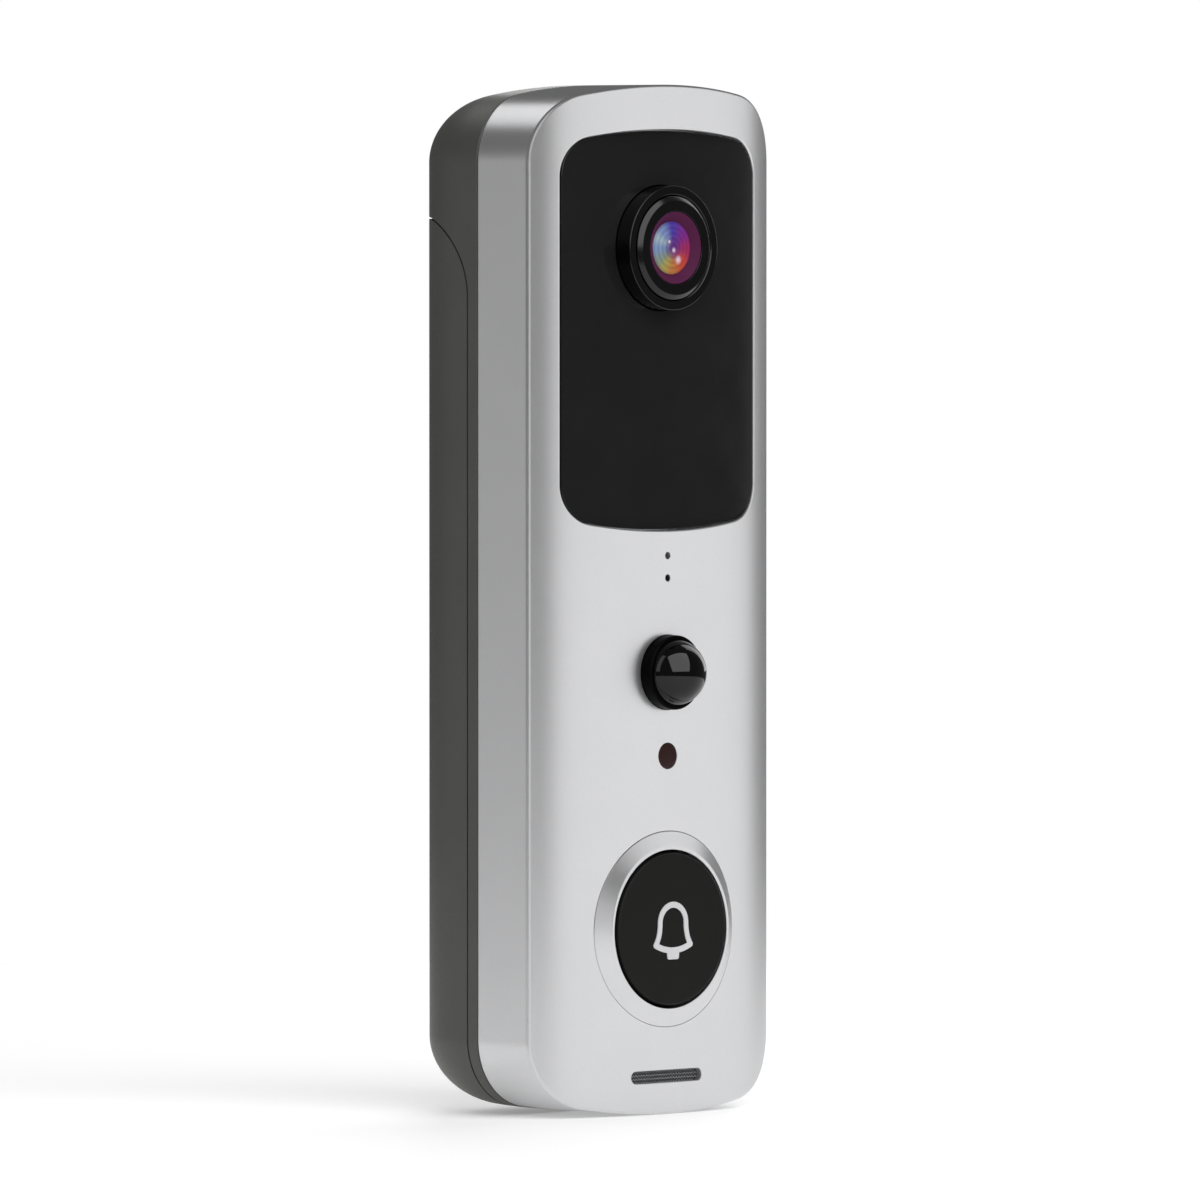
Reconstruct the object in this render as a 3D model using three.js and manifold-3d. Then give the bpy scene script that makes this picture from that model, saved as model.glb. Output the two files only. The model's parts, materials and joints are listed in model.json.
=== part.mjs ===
// Battery video doorbell, built as it comes apart on a bench.
// Millimetres, +Z up, +X to the right as seen from the front, the front faces -Y.
// The origin is the middle of the flat wall face on the back of the rear cover.

import * as THREE from "three";
import { mergeVertices } from "three/addons/utils/BufferGeometryUtils.js";
import Module from "manifold-3d";

const wasm = await Module();
wasm.setup();

// ---------------------------------------------------------------- sizes

// Outer form
const HEIGHT = 138;
const WIDTH = 45.7;
const REAR_DEPTH = 24.9; // wall face to the crease where the sides meet the front face
const FRONT_BOW = 2.5; // rise of the front face spread over its whole width
const FRONT_SHOULDER = 1.2; // rise gained close to the side edges
const ARCH_RADIUS = 92; // top and bottom edges seen from the front
const CORNER_RADIUS = 9.3;
const SHELL_BAND = 9.44; // depth of the front shell's side wall
const FLANGE_BAND = 1.8; // depth of the housing flange that shows behind it
const BACK_ROUND_FROM_SEAM = 1.34; // where the back starts to round, behind the seam
const BACK_ROUND_INSET = 9.2;
const COVER_TOP_DROP = 17.7; // top edge of the body to the cover's upper seam
const SEAM_RADIUS = 10.8; // the cover's upper front corners seen from the side

// Walls
const FRONT_WALL = 2.0;
const SIDE_WALL = 1.8;
const COVER_WALL = 1.8;
const HEAD_SEAM_WALL = 1.5;
const BAY_WALL = 1.2;
const CHAMBER_WALL = 1.4;

// Fits
const PART_GAP = 0.06; // faces that rest on each other
const FIT_GAP = 0.15; // a piece set into a recess or a bore
const SLIDE_GAP = 0.3; // a piece that slides past another
const SEAM_GAP = 0.25; // the visible joint round the rear cover

// Window
const WINDOW_SIDE_MARGIN = 4.65; // side edge of the body to the window
const WINDOW_TOP_DROP = 6.15; // top edge of the body to the top of the window
const WINDOW_HEIGHT = 53.4;
const WINDOW_ARCH = 91;
const WINDOW_CORNER = 5.2;
const WINDOW_SINK = 1.35; // window surface behind the front face on the centre line
const WINDOW_EDGE_THICKNESS = 1.2;
const LEDGE_WIDTH = 1.9;
const LEDGE_THICKNESS = 1.1;

// Camera, measured from the top edge of the body and along Y from the front face
const LENS_DROP = 21.85;
const BARREL_RADIUS = 6.0;
const BARREL_LIP = 0.95;
const BARREL_PROUD = 0.45; // the barrel's nose stands in front of the ring
const BARREL_CHAMFER = 0.65;
const BARREL_WALL = 1.1;
const BARREL_IN_HOLDER = 3.3;
const LENS_RING_GAP = 0.1; // between the barrel's lip and the ring
const LENS_RING_BEVEL = 0.15;
const LENS_RING_WIDTH = 1.15;
const LENS_RING_PROUD = 1.12;
const LENS_RING_FLANGE = 1.1;
const GLASS_RISE = 0.3;
const GLASS_SINK = 0.35; // rim of the glass behind the barrel's front
const GLASS_THICKNESS = 2;
const REAR_LENS_SEAT = 0.6;
const HOLDER_WALL = 1.5;
const HOLDER_LENGTH = 9;
const CAMERA_BOARD = { width: 18.6, height: 16.6, thickness: 1.0 };
const IMAGE_SENSOR = { width: 7.2, height: 6.2, thickness: 1.0 };
const CAMERA_BAY_MARGIN = 1.0; // room round the camera board
const CAMERA_BAY_REAR = 7.6; // rear face of the bay in front of the wall

// Small lights behind the window
const IR_LED = { width: 3.5, height: 2.8, thickness: 1.05 };
const IR_LED_GAP = 1.0; // between the lens ring's flange and the lower pair
const IR_LED_RISES = [8.5, 0]; // rows above the lens axis
const LIGHT_SENSOR = { width: 2.0, height: 2.0, thickness: 0.8 };
const LIGHT_SENSOR_GAP = 0.8; // above the lens ring's flange

// Front face below the window, each measured down from the window's lower edge
const MIC_DROP = 3.5;
const CHARGE_LIGHT_DROP = 6.5;
const PIR_DROP = 19.15;
const INDICATOR_DROP = 30.35;
const PINHOLE_RADIUS = 0.475;
const MIC_GASKET_RADIUS = 1.45;
const MICROPHONE = { width: 3.5, height: 2.65, thickness: 1.0 };
const PIR_RADIUS = 5.0;
const PIR_PROUD = 0.5; // centre of the dome in front of the front face
const PIR_SKIN = 1.0;
const PIR_FLANGE_WIDTH = 1.2;
const PIR_FLANGE_THICKNESS = 0.8;
const PIR_CAN_RADIUS = 3.5;
const PIR_CAN_LENGTH = 3.9;
const INDICATOR_RADIUS = 1.7;
const STATUS_LED = { width: 1.6, height: 1.0, thickness: 0.6 };

// Bell button, measured up from the bottom edge of the body
const BUTTON_RISE = 24.87;
const CAP_RADIUS = 10.25;
const CAP_GAP = 0.4; // between the cap and the bezel's bore
const BEZEL_RIM_WIDTH = 0.45;
const BEZEL_WIDTH = 2.5;
const BEZEL_PROUD = 0.6;
const BEZEL_SEAT = 1.4; // seat of the bezel behind the front face
const BEZEL_NECK_WALL = 0.65;
const BEZEL_NECK_LENGTH = 2.0;
const CAP_PROUD = 0.9;
const CAP_FACE = 1.4;
const CAP_EDGE = 0.4;
const CAP_SKIRT_WALL = 1.0;
const CAP_FLANGE_WIDTH = 1.0;
const CAP_FLANGE_THICKNESS = 0.5;
const CAP_POST_RADIUS = 2.0;
const BUTTON_TRAVEL = 0.5;
const SYMBOL_THICKNESS = 0.12;
const SYMBOL_STROKE = 0.8;
const SYMBOL_HALF_HEIGHT = 3.1;
const SYMBOL_HALF_DOME = 2.45;
const SYMBOL_HALF_FOOT = 3.45;
const SYMBOL_CLAPPER = 1.1;
const SWITCH_SIZE = 6.0;
const SWITCH_HEIGHT = 2.0;
const PLUNGER_RADIUS = 1.5;
const PLUNGER_SUNK = 0.4;

// Speaker
const SLOT_RISE = 5.1;
const SLOT_LENGTH = 13.3;
const SLOT_HEIGHT = 1.6;
const MESH_MARGIN = 1.1;
const MESH_THICKNESS = 0.3;
const MESH_COVER = 1.0; // front wall left in front of the mesh
const DUCT_WALL = 1.0;
const DUCT_HEIGHT = 5.2;
const SPEAKER_RADIUS = 9.5;
const SPEAKER_DEPTH = 6.6;
const SPEAKER_RIM = 1.1;
const SPEAKER_GASKET = 1.5;
const MAGNET_RADIUS = 5.2;
const MAGNET_DEPTH = 2.4;

// Circuit boards
const BOARD_THICKNESS = 1.0;
const BOARD_BEHIND_FACE = 4.7; // front face of the main board behind the front face
const BOARD_TOP_DROP = 8;
const BOARD_BOTTOM_RISE = 13.6;
const BOARD_CORNER = 2.5;
const PROCESSOR = { width: 8, height: 9, thickness: 1.2 };
const RADIO_SHIELD = { width: 18, height: 15, thickness: 1.2 };
const CHIP_GAP = 1.3; // between the radio shield and the processor beside it
const CHIP_DROP = 47;
const ANTENNA = { width: 9, height: 2.4, thickness: 0.35 };
const ANTENNA_X = 8;
const ANTENNA_DROP = 1.4; // below the top edge of the main board
const BOARD_PAD_RADIUS = 1.4;
const BOARD_PAD_INSET = 2.0; // from the side edges of the main board
const BOARD_PAD_DROPS = [5, 36]; // below the window, on the shell
const BAY_PAD_INSET = 9; // from the ends of the battery bay, on its floor

// Batteries: two 18650 cells side by side
const CELL_RADIUS = 9.15;
const CELL_LENGTH = 65.2;
const CELL_NUB = { radius: 2.8, height: 0.9 };
const CELL_GAP = 0.5; // between the two cells
const CELL_BACK_GAP = 0.5;
const SPRING_LENGTH = 2.6;
const SPRING_RADIUS = 3.4;
const SPRING_WIRE = 0.45;
const CONTACT_PLATE = { width: 11, height: 10, thickness: 0.5 };
const BAY_TOP_DROP = 33;

// Service chamber in the lower part of the housing
const CHAMBER_ROOM = 2.1; // between the cover's bottom wall and the chamber
const SERVICE_BOARD = { width: 24, height: 7.4, thickness: 1.0 };
const USB_SOCKET = { width: 7.6, height: 2.9, shell: 0.35 };
const USB_TONGUE = { side: 2, thickness: 0.7 };
const USB_OFFSET = 5.6;
const RESET_OFFSET = 6.4;
const RESET_RADIUS = 1.5;
const RESET_PROUD = 0.8;
const RESET_FLANGE = { radius: 2.2, thickness: 0.5 };
const RESET_TRAVEL = 0.4;
const RESET_SWITCH = { size: 4.0, height: 1.5 };
const SERVICE_POSTS = [1.2, 10.8];
const SERVICE_DEPTH = 2.6; // room between the service board and the chamber's rear wall
const RIBBON = { width: 8, thickness: 0.3, tail: 3 };
const LEAD = { width: 2.4, thickness: 0.8 };

// Slide rails between the rear cover and the housing
const RAIL_DEPTH = 2.0;
const RAIL_FROM_SEAM = 1.3;
const RAIL_WIDTH = 2.1;
const RAIL_HOOK_WALL = 1.2;
const RAIL_GRIP = 1.2;
const HOOK_HEIGHT = 8;
const HOOK_RISE = 17.5; // middle of the hooks above the bottom edge
const TONGUE = { halfWidth: 3.5, thickness: 1.2, height: 2.7, root: 6, wallGap: 0.3 };

// Fasteners
const SCREW_INSET = 3.45; // screw axis inside the shell's side wall
const SCREW_LEVELS = { fromTop: [29.4], fromBottom: [30.5, 8] };
const SCREW_HEAD = { radius: 1.75, height: 1.0 };
const SCREW_SHANK = { radius: 0.85, length: 7 };
const BOSS_RADIUS = 2.2;
const LOCK_SCREW = { head: 1.6, headHeight: 1.0, shank: 0.9, length: 4.1 };
const LOCK_SCREW_FROM_SEAM = 2.44;
const LOCK_ROOM = 0.7; // between the lock screw's shank and the chamber's rear wall
const WALL_HOLE_RADIUS = 2.1;
const WALL_HOLE_SPREAD = 52;
const SEAL = { width: 0.7, depth: 0.75, inset: 0.7 };

// Facets
const CORNER_STEPS = 5;
const ARCH_STEPS = 6;
const ROUND_STEPS = 6;
const CROWN_STEPS = 18;
const CIRCLE = 32;
const SMALL_CIRCLE = 12;

// ---------------------------------------------------------------- derived places

const HALF_WIDTH = WIDTH / 2;
const TOP = HEIGHT / 2;
const BOTTOM = -HEIGHT / 2;
const COVER_TOP = TOP - COVER_TOP_DROP;
const FACE = -(REAR_DEPTH + FRONT_BOW + FRONT_SHOULDER); // front face on the centre line
const SHELL_BACK = -(REAR_DEPTH - SHELL_BAND);
const SEAM = SHELL_BACK + FLANGE_BAND;
const FAR = 100; // beyond every face, for cutting tools
const ROUND_START = SEAM + BACK_ROUND_FROM_SEAM;

const WINDOW_HALF_WIDTH = HALF_WIDTH - WINDOW_SIDE_MARGIN;
const WINDOW_TOP = TOP - WINDOW_TOP_DROP;
const WINDOW_BOTTOM = WINDOW_TOP - WINDOW_HEIGHT;
const WINDOW_MIDDLE = (WINDOW_TOP + WINDOW_BOTTOM) / 2;
const WINDOW_FRONT = FACE + WINDOW_SINK;
const LENS_Z = TOP - LENS_DROP;
const GLASS_RADIUS = BARREL_RADIUS - BARREL_WALL - PART_GAP;
const REAR_LENS_RADIUS = BARREL_RADIUS - BARREL_WALL - 2 * PART_GAP;
const LENS_RING_BORE = BARREL_RADIUS + BARREL_LIP + LENS_RING_GAP;
const LENS_RING_MOUTH = LENS_RING_BORE + LENS_RING_BEVEL;
const LENS_RING_RADIUS = LENS_RING_MOUTH + LENS_RING_WIDTH;
const RING_FLANGE_RADIUS = LENS_RING_RADIUS + LENS_RING_FLANGE;
const IR_LED_X = RING_FLANGE_RADIUS + IR_LED_GAP + IR_LED.width / 2;
const LIGHT_SENSOR_Z = LENS_Z + RING_FLANGE_RADIUS + LIGHT_SENSOR_GAP + LIGHT_SENSOR.height / 2;
const MIC_Z = WINDOW_BOTTOM - MIC_DROP;
const CHARGE_LIGHT_Z = WINDOW_BOTTOM - CHARGE_LIGHT_DROP;
const PIR_Z = WINDOW_BOTTOM - PIR_DROP;
const INDICATOR_Z = WINDOW_BOTTOM - INDICATOR_DROP;
const BUTTON_Z = BOTTOM + BUTTON_RISE;
const BEZEL_BORE_RADIUS = CAP_RADIUS + CAP_GAP;
const BEZEL_RIM_RADIUS = BEZEL_BORE_RADIUS + BEZEL_RIM_WIDTH;
const BEZEL_RADIUS = BEZEL_BORE_RADIUS + BEZEL_WIDTH;
const SLOT_Z = BOTTOM + SLOT_RISE;
const SPEAKER_Z = BOTTOM + COVER_WALL + CHAMBER_ROOM + CHAMBER_WALL + FIT_GAP + SPEAKER_RADIUS;
const SERVICE_Z = SPEAKER_Z + SPEAKER_RADIUS + SLIDE_GAP + SERVICE_BOARD.height / 2;
const LOCK_SCREW_Y = SEAM + LOCK_SCREW_FROM_SEAM;
const CHAMBER_REAR = LOCK_SCREW_Y + LOCK_SCREW.shank + LOCK_ROOM + CHAMBER_WALL;
const BOARD_Y = FACE + BOARD_BEHIND_FACE;
const BOARD_BACK = BOARD_Y + BOARD_THICKNESS;

const INNER_HALF_WIDTH = HALF_WIDTH - SIDE_WALL;
const SCREW_X = INNER_HALF_WIDTH - SCREW_INSET;
const BOARD_HALF_WIDTH = SCREW_X - BOSS_RADIUS - 2 * FIT_GAP;
const SCREW_ROWS = [
  ...SCREW_LEVELS.fromTop.map((drop) => TOP - drop),
  ...SCREW_LEVELS.fromBottom.map((rise) => BOTTOM + rise),
];

const CELL_SPACING = 2 * CELL_RADIUS + CELL_GAP;
const CELL_Y = -(COVER_WALL + CELL_BACK_GAP + CELL_RADIUS);
const BAY_HALF_WIDTH = CELL_SPACING / 2 + CELL_RADIUS + SLIDE_GAP;
const BAY_TOP = TOP - BAY_TOP_DROP;
const BAY_LENGTH = CELL_LENGTH + CELL_NUB.height + SPRING_LENGTH + CONTACT_PLATE.thickness + 2 * FIT_GAP;
const BAY_BOTTOM = BAY_TOP - BAY_LENGTH;
const BAY_FLOOR = CELL_Y - CELL_RADIUS - SLIDE_GAP;
const CELL_BOTTOM = BAY_BOTTOM + SPRING_LENGTH + FIT_GAP / 2;

// The front face at x: a bow across the whole width that steepens at the shoulders.
function faceY(x) {
  const share = Math.abs(x) / HALF_WIDTH;
  return -REAR_DEPTH - FRONT_BOW * (1 - share ** 2) - FRONT_SHOULDER * (1 - share ** 6);
}

// ---------------------------------------------------------------- solids

// A closed solid from a geometry: corners merged, slivers dropped, faces turned outward.
function solid(geometry) {
  const bare = new THREE.BufferGeometry();
  bare.setAttribute("position", geometry.getAttribute("position"));
  bare.setIndex(geometry.index);
  const merged = mergeVertices(bare, 1e-4);
  const corners = Array.from(merged.index.array);
  const kept = [];
  for (let i = 0; i < corners.length; i += 3) {
    const [a, b, c] = corners.slice(i, i + 3);
    if (a !== b && b !== c && c !== a) kept.push(a, b, c);
  }
  const build = (triangles) =>
    new wasm.Manifold(
      new wasm.Mesh({
        numProp: 3,
        vertProperties: new Float32Array(merged.attributes.position.array),
        triVerts: new Uint32Array(triangles),
      }),
    );
  const made = build(kept);
  return made.volume() < 0 ? build(kept.reverse()) : made;
}

function geometryOf(made) {
  const mesh = made.getMesh();
  const geometry = new THREE.BufferGeometry();
  geometry.setAttribute("position", new THREE.BufferAttribute(mesh.vertProperties, 3));
  geometry.setIndex(new THREE.BufferAttribute(mesh.triVerts, 1));
  geometry.computeVertexNormals();
  return geometry;
}

const join = (first, ...others) => others.reduce((sum, other) => sum.add(other), first);
const cut = (first, ...others) => others.reduce((rest, other) => rest.subtract(other), first);

// An outline drawn in X and Z, made solid between two depths.
function alongY(points, front, back, holes = []) {
  const shape = new THREE.Shape(points);
  shape.holes = holes.map((hole) => new THREE.Path(hole));
  const geometry = new THREE.ExtrudeGeometry(shape, { depth: back - front, bevelEnabled: false });
  geometry.rotateX(Math.PI / 2);
  geometry.translate(0, back, 0);
  return solid(geometry);
}

// An outline drawn in X and Y, made solid between two heights.
function alongZ(points, low, high) {
  const shape = new THREE.Shape(points);
  const geometry = new THREE.ExtrudeGeometry(shape, { depth: high - low, bevelEnabled: false });
  geometry.translate(0, 0, low);
  return solid(geometry);
}

// An outline drawn in Y and Z, made solid across X.
function alongX(points, left, right) {
  const shape = new THREE.Shape(points);
  const geometry = new THREE.ExtrudeGeometry(shape, { depth: right - left, bevelEnabled: false });
  geometry.rotateX(Math.PI / 2);
  geometry.rotateZ(Math.PI / 2);
  geometry.translate(left, 0, 0);
  return solid(geometry);
}

function block(x0, x1, y0, y1, z0, z1) {
  const geometry = new THREE.BoxGeometry(x1 - x0, y1 - y0, z1 - z0);
  geometry.translate((x0 + x1) / 2, (y0 + y1) / 2, (z0 + z1) / 2);
  return solid(geometry);
}

// A flat component centred on (x, z) with its front face at depth front.
function slab({ width, height, thickness }, x, front, z) {
  return block(x - width / 2, x + width / 2, front, front + thickness, z - height / 2, z + height / 2);
}

// A round rod along Y.
function rod(radius, front, back, x, z, sides = SMALL_CIRCLE) {
  const geometry = new THREE.CylinderGeometry(radius, radius, back - front, sides);
  geometry.translate(x, (front + back) / 2, z);
  return solid(geometry);
}

// A turned piece round an axis along Y; the profile lists [radius, depth].
function turned(profile, x, z, sides = CIRCLE) {
  const points = profile.map(([radius, depth]) => new THREE.Vector2(radius, depth));
  const geometry = new THREE.LatheGeometry(points, sides);
  geometry.translate(x, 0, z);
  return solid(geometry);
}

// A skin over rings of equal count, closed by a cap at each end.
function loft(rings) {
  const count = rings[0].length;
  const positions = rings.flat().flatMap((point) => [point.x, point.y, point.z]);
  const triangles = [];
  for (let ring = 0; ring + 1 < rings.length; ring++) {
    for (let i = 0; i < count; i++) {
      const a = ring * count + i;
      const b = ring * count + ((i + 1) % count);
      triangles.push(a, a + count, b, b, a + count, b + count);
    }
  }
  const flat = rings[0].map((point) => new THREE.Vector2(point.x, point.z));
  const last = (rings.length - 1) * count;
  for (const [a, b, c] of THREE.ShapeUtils.triangulateShape(flat, [])) {
    triangles.push(a, b, c, last + c, last + b, last + a);
  }
  const geometry = new THREE.BufferGeometry();
  geometry.setAttribute("position", new THREE.Float32BufferAttribute(positions, 3));
  geometry.setIndex(triangles);
  return solid(geometry);
}

// A ring whose section changes round its axis along Y; section(angle) lists [radius, depth].
function sweptRing(section, x, z, steps) {
  const positions = [];
  const triangles = [];
  const count = section(0).length;
  for (let step = 0; step < steps; step++) {
    const angle = (2 * Math.PI * step) / steps;
    for (const [radius, depth] of section(angle)) {
      positions.push(x + radius * Math.cos(angle), depth, z + radius * Math.sin(angle));
    }
    for (let i = 0; i < count; i++) {
      const a = step * count + i;
      const b = step * count + ((i + 1) % count);
      const c = ((step + 1) % steps) * count + i;
      const d = ((step + 1) % steps) * count + ((i + 1) % count);
      triangles.push(a, b, c, b, d, c);
    }
  }
  const geometry = new THREE.BufferGeometry();
  geometry.setAttribute("position", new THREE.Float32BufferAttribute(positions, 3));
  geometry.setIndex(triangles);
  return solid(geometry);
}

// ---------------------------------------------------------------- outlines

function arc(x, y, radius, from, to, steps) {
  return Array.from({ length: steps + 1 }, (_, i) => {
    const angle = from + ((to - from) * i) / steps;
    return new THREE.Vector2(x + radius * Math.cos(angle), y + radius * Math.sin(angle));
  });
}

// Straight sides, arched ends and rounded corners, centred on middle.
function archedOutline(halfWidth, halfHeight, archRadius, cornerRadius, middle = 0) {
  const archCentre = halfHeight - archRadius;
  const cornerX = halfWidth - cornerRadius;
  const cornerZ = archCentre + Math.sqrt((archRadius - cornerRadius) ** 2 - cornerX ** 2);
  const turn = Math.atan2(cornerZ - archCentre, cornerX);
  const upper = [
    ...arc(cornerX, cornerZ, cornerRadius, 0, turn, CORNER_STEPS),
    ...arc(0, archCentre, archRadius, turn, Math.PI - turn, ARCH_STEPS).slice(1),
    ...arc(-cornerX, cornerZ, cornerRadius, Math.PI - turn, Math.PI, CORNER_STEPS).slice(1),
  ];
  const lower = upper.map((point) => new THREE.Vector2(-point.x, -point.y));
  return [...upper, ...lower].map((point) => new THREE.Vector2(point.x, point.y + middle));
}

const bodyOutline = (inset) =>
  archedOutline(HALF_WIDTH - inset, TOP - inset, ARCH_RADIUS - inset, CORNER_RADIUS - inset);

const windowOutline = (grow) =>
  archedOutline(
    WINDOW_HALF_WIDTH + grow,
    WINDOW_HEIGHT / 2 + grow,
    WINDOW_ARCH + grow,
    WINDOW_CORNER + grow,
    WINDOW_MIDDLE,
  );

// Points of a curve at even steps of its parameter.
const sampled = (from, to, steps, point) =>
  Array.from({ length: steps + 1 }, (_, i) => point(from + ((to - from) * i) / steps));

// A bar with round ends.
function stadium(length, height, z) {
  const reach = (length - height) / 2;
  return [
    ...arc(reach, z, height / 2, -Math.PI / 2, Math.PI / 2, 6),
    ...arc(-reach, z, height / 2, Math.PI / 2, (3 * Math.PI) / 2, 6),
  ];
}

// Everything behind the bowed front face shifted back by offset.
function behindFace(offset) {
  const reach = HALF_WIDTH + 1;
  const front = Array.from({ length: CROWN_STEPS + 1 }, (_, i) => {
    const x = -reach + (2 * reach * i) / CROWN_STEPS;
    return new THREE.Vector2(x, faceY(x) + offset);
  });
  const back = [new THREE.Vector2(reach, FAR), new THREE.Vector2(-reach, FAR)];
  return alongZ([...front, ...back], -FAR, FAR);
}

// The rounded back of the body, shrunk by wall, from depth front to its rear face.
function backForm(wall, front) {
  const inset = (angle) => wall + (BACK_ROUND_INSET - wall * 0.5) * (1 - Math.cos(angle));
  const depth = (angle) => ROUND_START - (ROUND_START + wall) * Math.sin(angle);
  const ring = (amount, y) =>
    archedOutline(
      HALF_WIDTH - amount,
      TOP - amount,
      ARCH_RADIUS - amount,
      Math.max(CORNER_RADIUS - amount, 0.9),
    ).map((point) => new THREE.Vector3(point.x, y, point.y));
  const rings = sampled(0, Math.PI / 2, ROUND_STEPS, (angle) => ring(inset(angle), depth(angle)));
  return loft([ring(wall, front), ...rings]);
}

// The space of the rear cover seen from the side, grown by amount beyond its seam.
function coverSpace(amount) {
  const seam = SEAM - amount;
  const centre = SEAM + SEAM_RADIUS;
  const shoulder = COVER_TOP - SEAM_RADIUS;
  const corner = arc(centre, shoulder, SEAM_RADIUS + amount, Math.PI, Math.PI / 2, 8);
  const rest = [
    new THREE.Vector2(FAR, COVER_TOP + amount),
    new THREE.Vector2(FAR, -FAR),
    new THREE.Vector2(seam, -FAR),
  ];
  return alongX([...corner, ...rest], -FAR, FAR);
}

// ---------------------------------------------------------------- shell and window

function frontShell() {
  const outside = alongY(bodyOutline(0), -FAR, SHELL_BACK).intersect(behindFace(0));
  const hollow = alongY(bodyOutline(SIDE_WALL), -FAR, FAR).intersect(behindFace(FRONT_WALL));
  const ledgeFront = WINDOW_FRONT + WINDOW_SINK - 0.4;
  const ledge = alongY(windowOutline(LEDGE_WIDTH), ledgeFront, windowBack() + LEDGE_THICKNESS);
  const buttonSeat = rod(BEZEL_RADIUS + 1.2, FACE + 1.3, FACE + BEZEL_SEAT + 1.6, 0, BUTTON_Z, CIRCLE);
  let shell = join(cut(outside, hollow), ledge.intersect(behindFace(1)), buttonSeat);
  for (const z of SCREW_ROWS) {
    for (const side of [-1, 1]) {
      const x = side * SCREW_X;
      const bore = rod(SCREW_SHANK.radius + PART_GAP, SHELL_BACK - SCREW_SHANK.length, FAR, x, z);
      shell = shell.add(rod(BOSS_RADIUS, faceY(x) + FRONT_WALL - 0.5, SHELL_BACK, x, z));
      shell = shell.subtract(bore);
    }
  }
  for (const drop of BOARD_PAD_DROPS) {
    for (const side of [-1, 1]) {
      const x = side * (BOARD_HALF_WIDTH - BOARD_PAD_INSET);
      const front = faceY(x) + FRONT_WALL - 0.5;
      shell = shell.add(rod(BOARD_PAD_RADIUS, front, BOARD_Y - PART_GAP, x, WINDOW_BOTTOM - drop));
    }
  }
  const meshPocket = [SLOT_LENGTH + 2 * MESH_MARGIN, SLOT_HEIGHT + 2 * MESH_MARGIN];
  return cut(
    shell,
    alongY(windowOutline(FIT_GAP), -FAR, windowBack() + PART_GAP),
    alongY(windowOutline(-LEDGE_WIDTH), -FAR, windowBack() + LEDGE_THICKNESS + PART_GAP),
    rod(BEZEL_RADIUS + FIT_GAP, -FAR, FACE + BEZEL_SEAT, 0, BUTTON_Z, CIRCLE),
    rod(BEZEL_BORE_RADIUS + BEZEL_NECK_WALL + FIT_GAP, -FAR, -REAR_DEPTH + 1, 0, BUTTON_Z, CIRCLE),
    rod(PIR_RADIUS + FIT_GAP, -FAR, -REAR_DEPTH, 0, PIR_Z, CIRCLE),
    rod(INDICATOR_RADIUS + PART_GAP, -FAR, -REAR_DEPTH, 0, INDICATOR_Z),
    rod(PINHOLE_RADIUS, -FAR, -REAR_DEPTH, 0, MIC_Z),
    rod(PINHOLE_RADIUS, -FAR, -REAR_DEPTH, 0, CHARGE_LIGHT_Z),
    alongY(stadium(SLOT_LENGTH, SLOT_HEIGHT, SLOT_Z), -FAR, -REAR_DEPTH),
    block(
      -meshPocket[0] / 2 - FIT_GAP,
      meshPocket[0] / 2 + FIT_GAP,
      FACE + MESH_COVER,
      -REAR_DEPTH,
      SLOT_Z - meshPocket[1] / 2 - FIT_GAP,
      SLOT_Z + meshPocket[1] / 2 + FIT_GAP,
    ),
  );
}

// The window's flat back face.
function windowBack() {
  return faceY(WINDOW_HALF_WIDTH) + WINDOW_EDGE_THICKNESS;
}

// A panel that is flush with the shell at its sides and sinks behind it in the middle.
function windowPanel() {
  const edge = faceY(WINDOW_HALF_WIDTH);
  const surface = (x) => WINDOW_FRONT + (edge - WINDOW_FRONT) * (x / WINDOW_HALF_WIDTH) ** 2;
  const reach = WINDOW_HALF_WIDTH + 1;
  const front = Array.from({ length: CROWN_STEPS + 1 }, (_, i) => {
    const x = -reach + (2 * reach * i) / CROWN_STEPS;
    return new THREE.Vector2(x, surface(x));
  });
  const body = [...front, new THREE.Vector2(reach, windowBack()), new THREE.Vector2(-reach, windowBack())];
  const panel = alongZ(body, -FAR, FAR).intersect(alongY(windowOutline(0), -FAR, FAR));
  return cut(panel, rod(LENS_RING_RADIUS + FIT_GAP, -FAR, FAR, 0, LENS_Z, CIRCLE));
}

// ---------------------------------------------------------------- camera

const RING_FRONT = FACE - LENS_RING_PROUD;
const BARREL_FRONT = RING_FRONT - BARREL_PROUD;
const BARREL_LEDGE = 1.0; // thickness of the barrel's front lip
const HOLDER_REAR = -CAMERA_BAY_REAR - BAY_WALL - CAMERA_BOARD.thickness - 2 * SLIDE_GAP;

const HOLDER_FRONT = HOLDER_REAR - HOLDER_LENGTH;
const BARREL_REAR = HOLDER_FRONT + BARREL_IN_HOLDER;

function lensRing() {
  const flangeFront = windowBack() + FIT_GAP;
  const flangeBack = flangeFront + 0.7;
  const bore = LENS_RING_BORE;
  const bevelBack = RING_FRONT + LENS_RING_BEVEL;
  return turned(
    [
      [bore, bevelBack],
      [LENS_RING_MOUTH, RING_FRONT],
      [LENS_RING_RADIUS - 0.3, RING_FRONT],
      [LENS_RING_RADIUS, RING_FRONT + 0.3],
      [LENS_RING_RADIUS, flangeFront],
      [RING_FLANGE_RADIUS, flangeFront],
      [RING_FLANGE_RADIUS, flangeBack],
      [bore, flangeBack],
      [bore, bevelBack],
    ],
    0,
    LENS_Z,
  );
}

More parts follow.
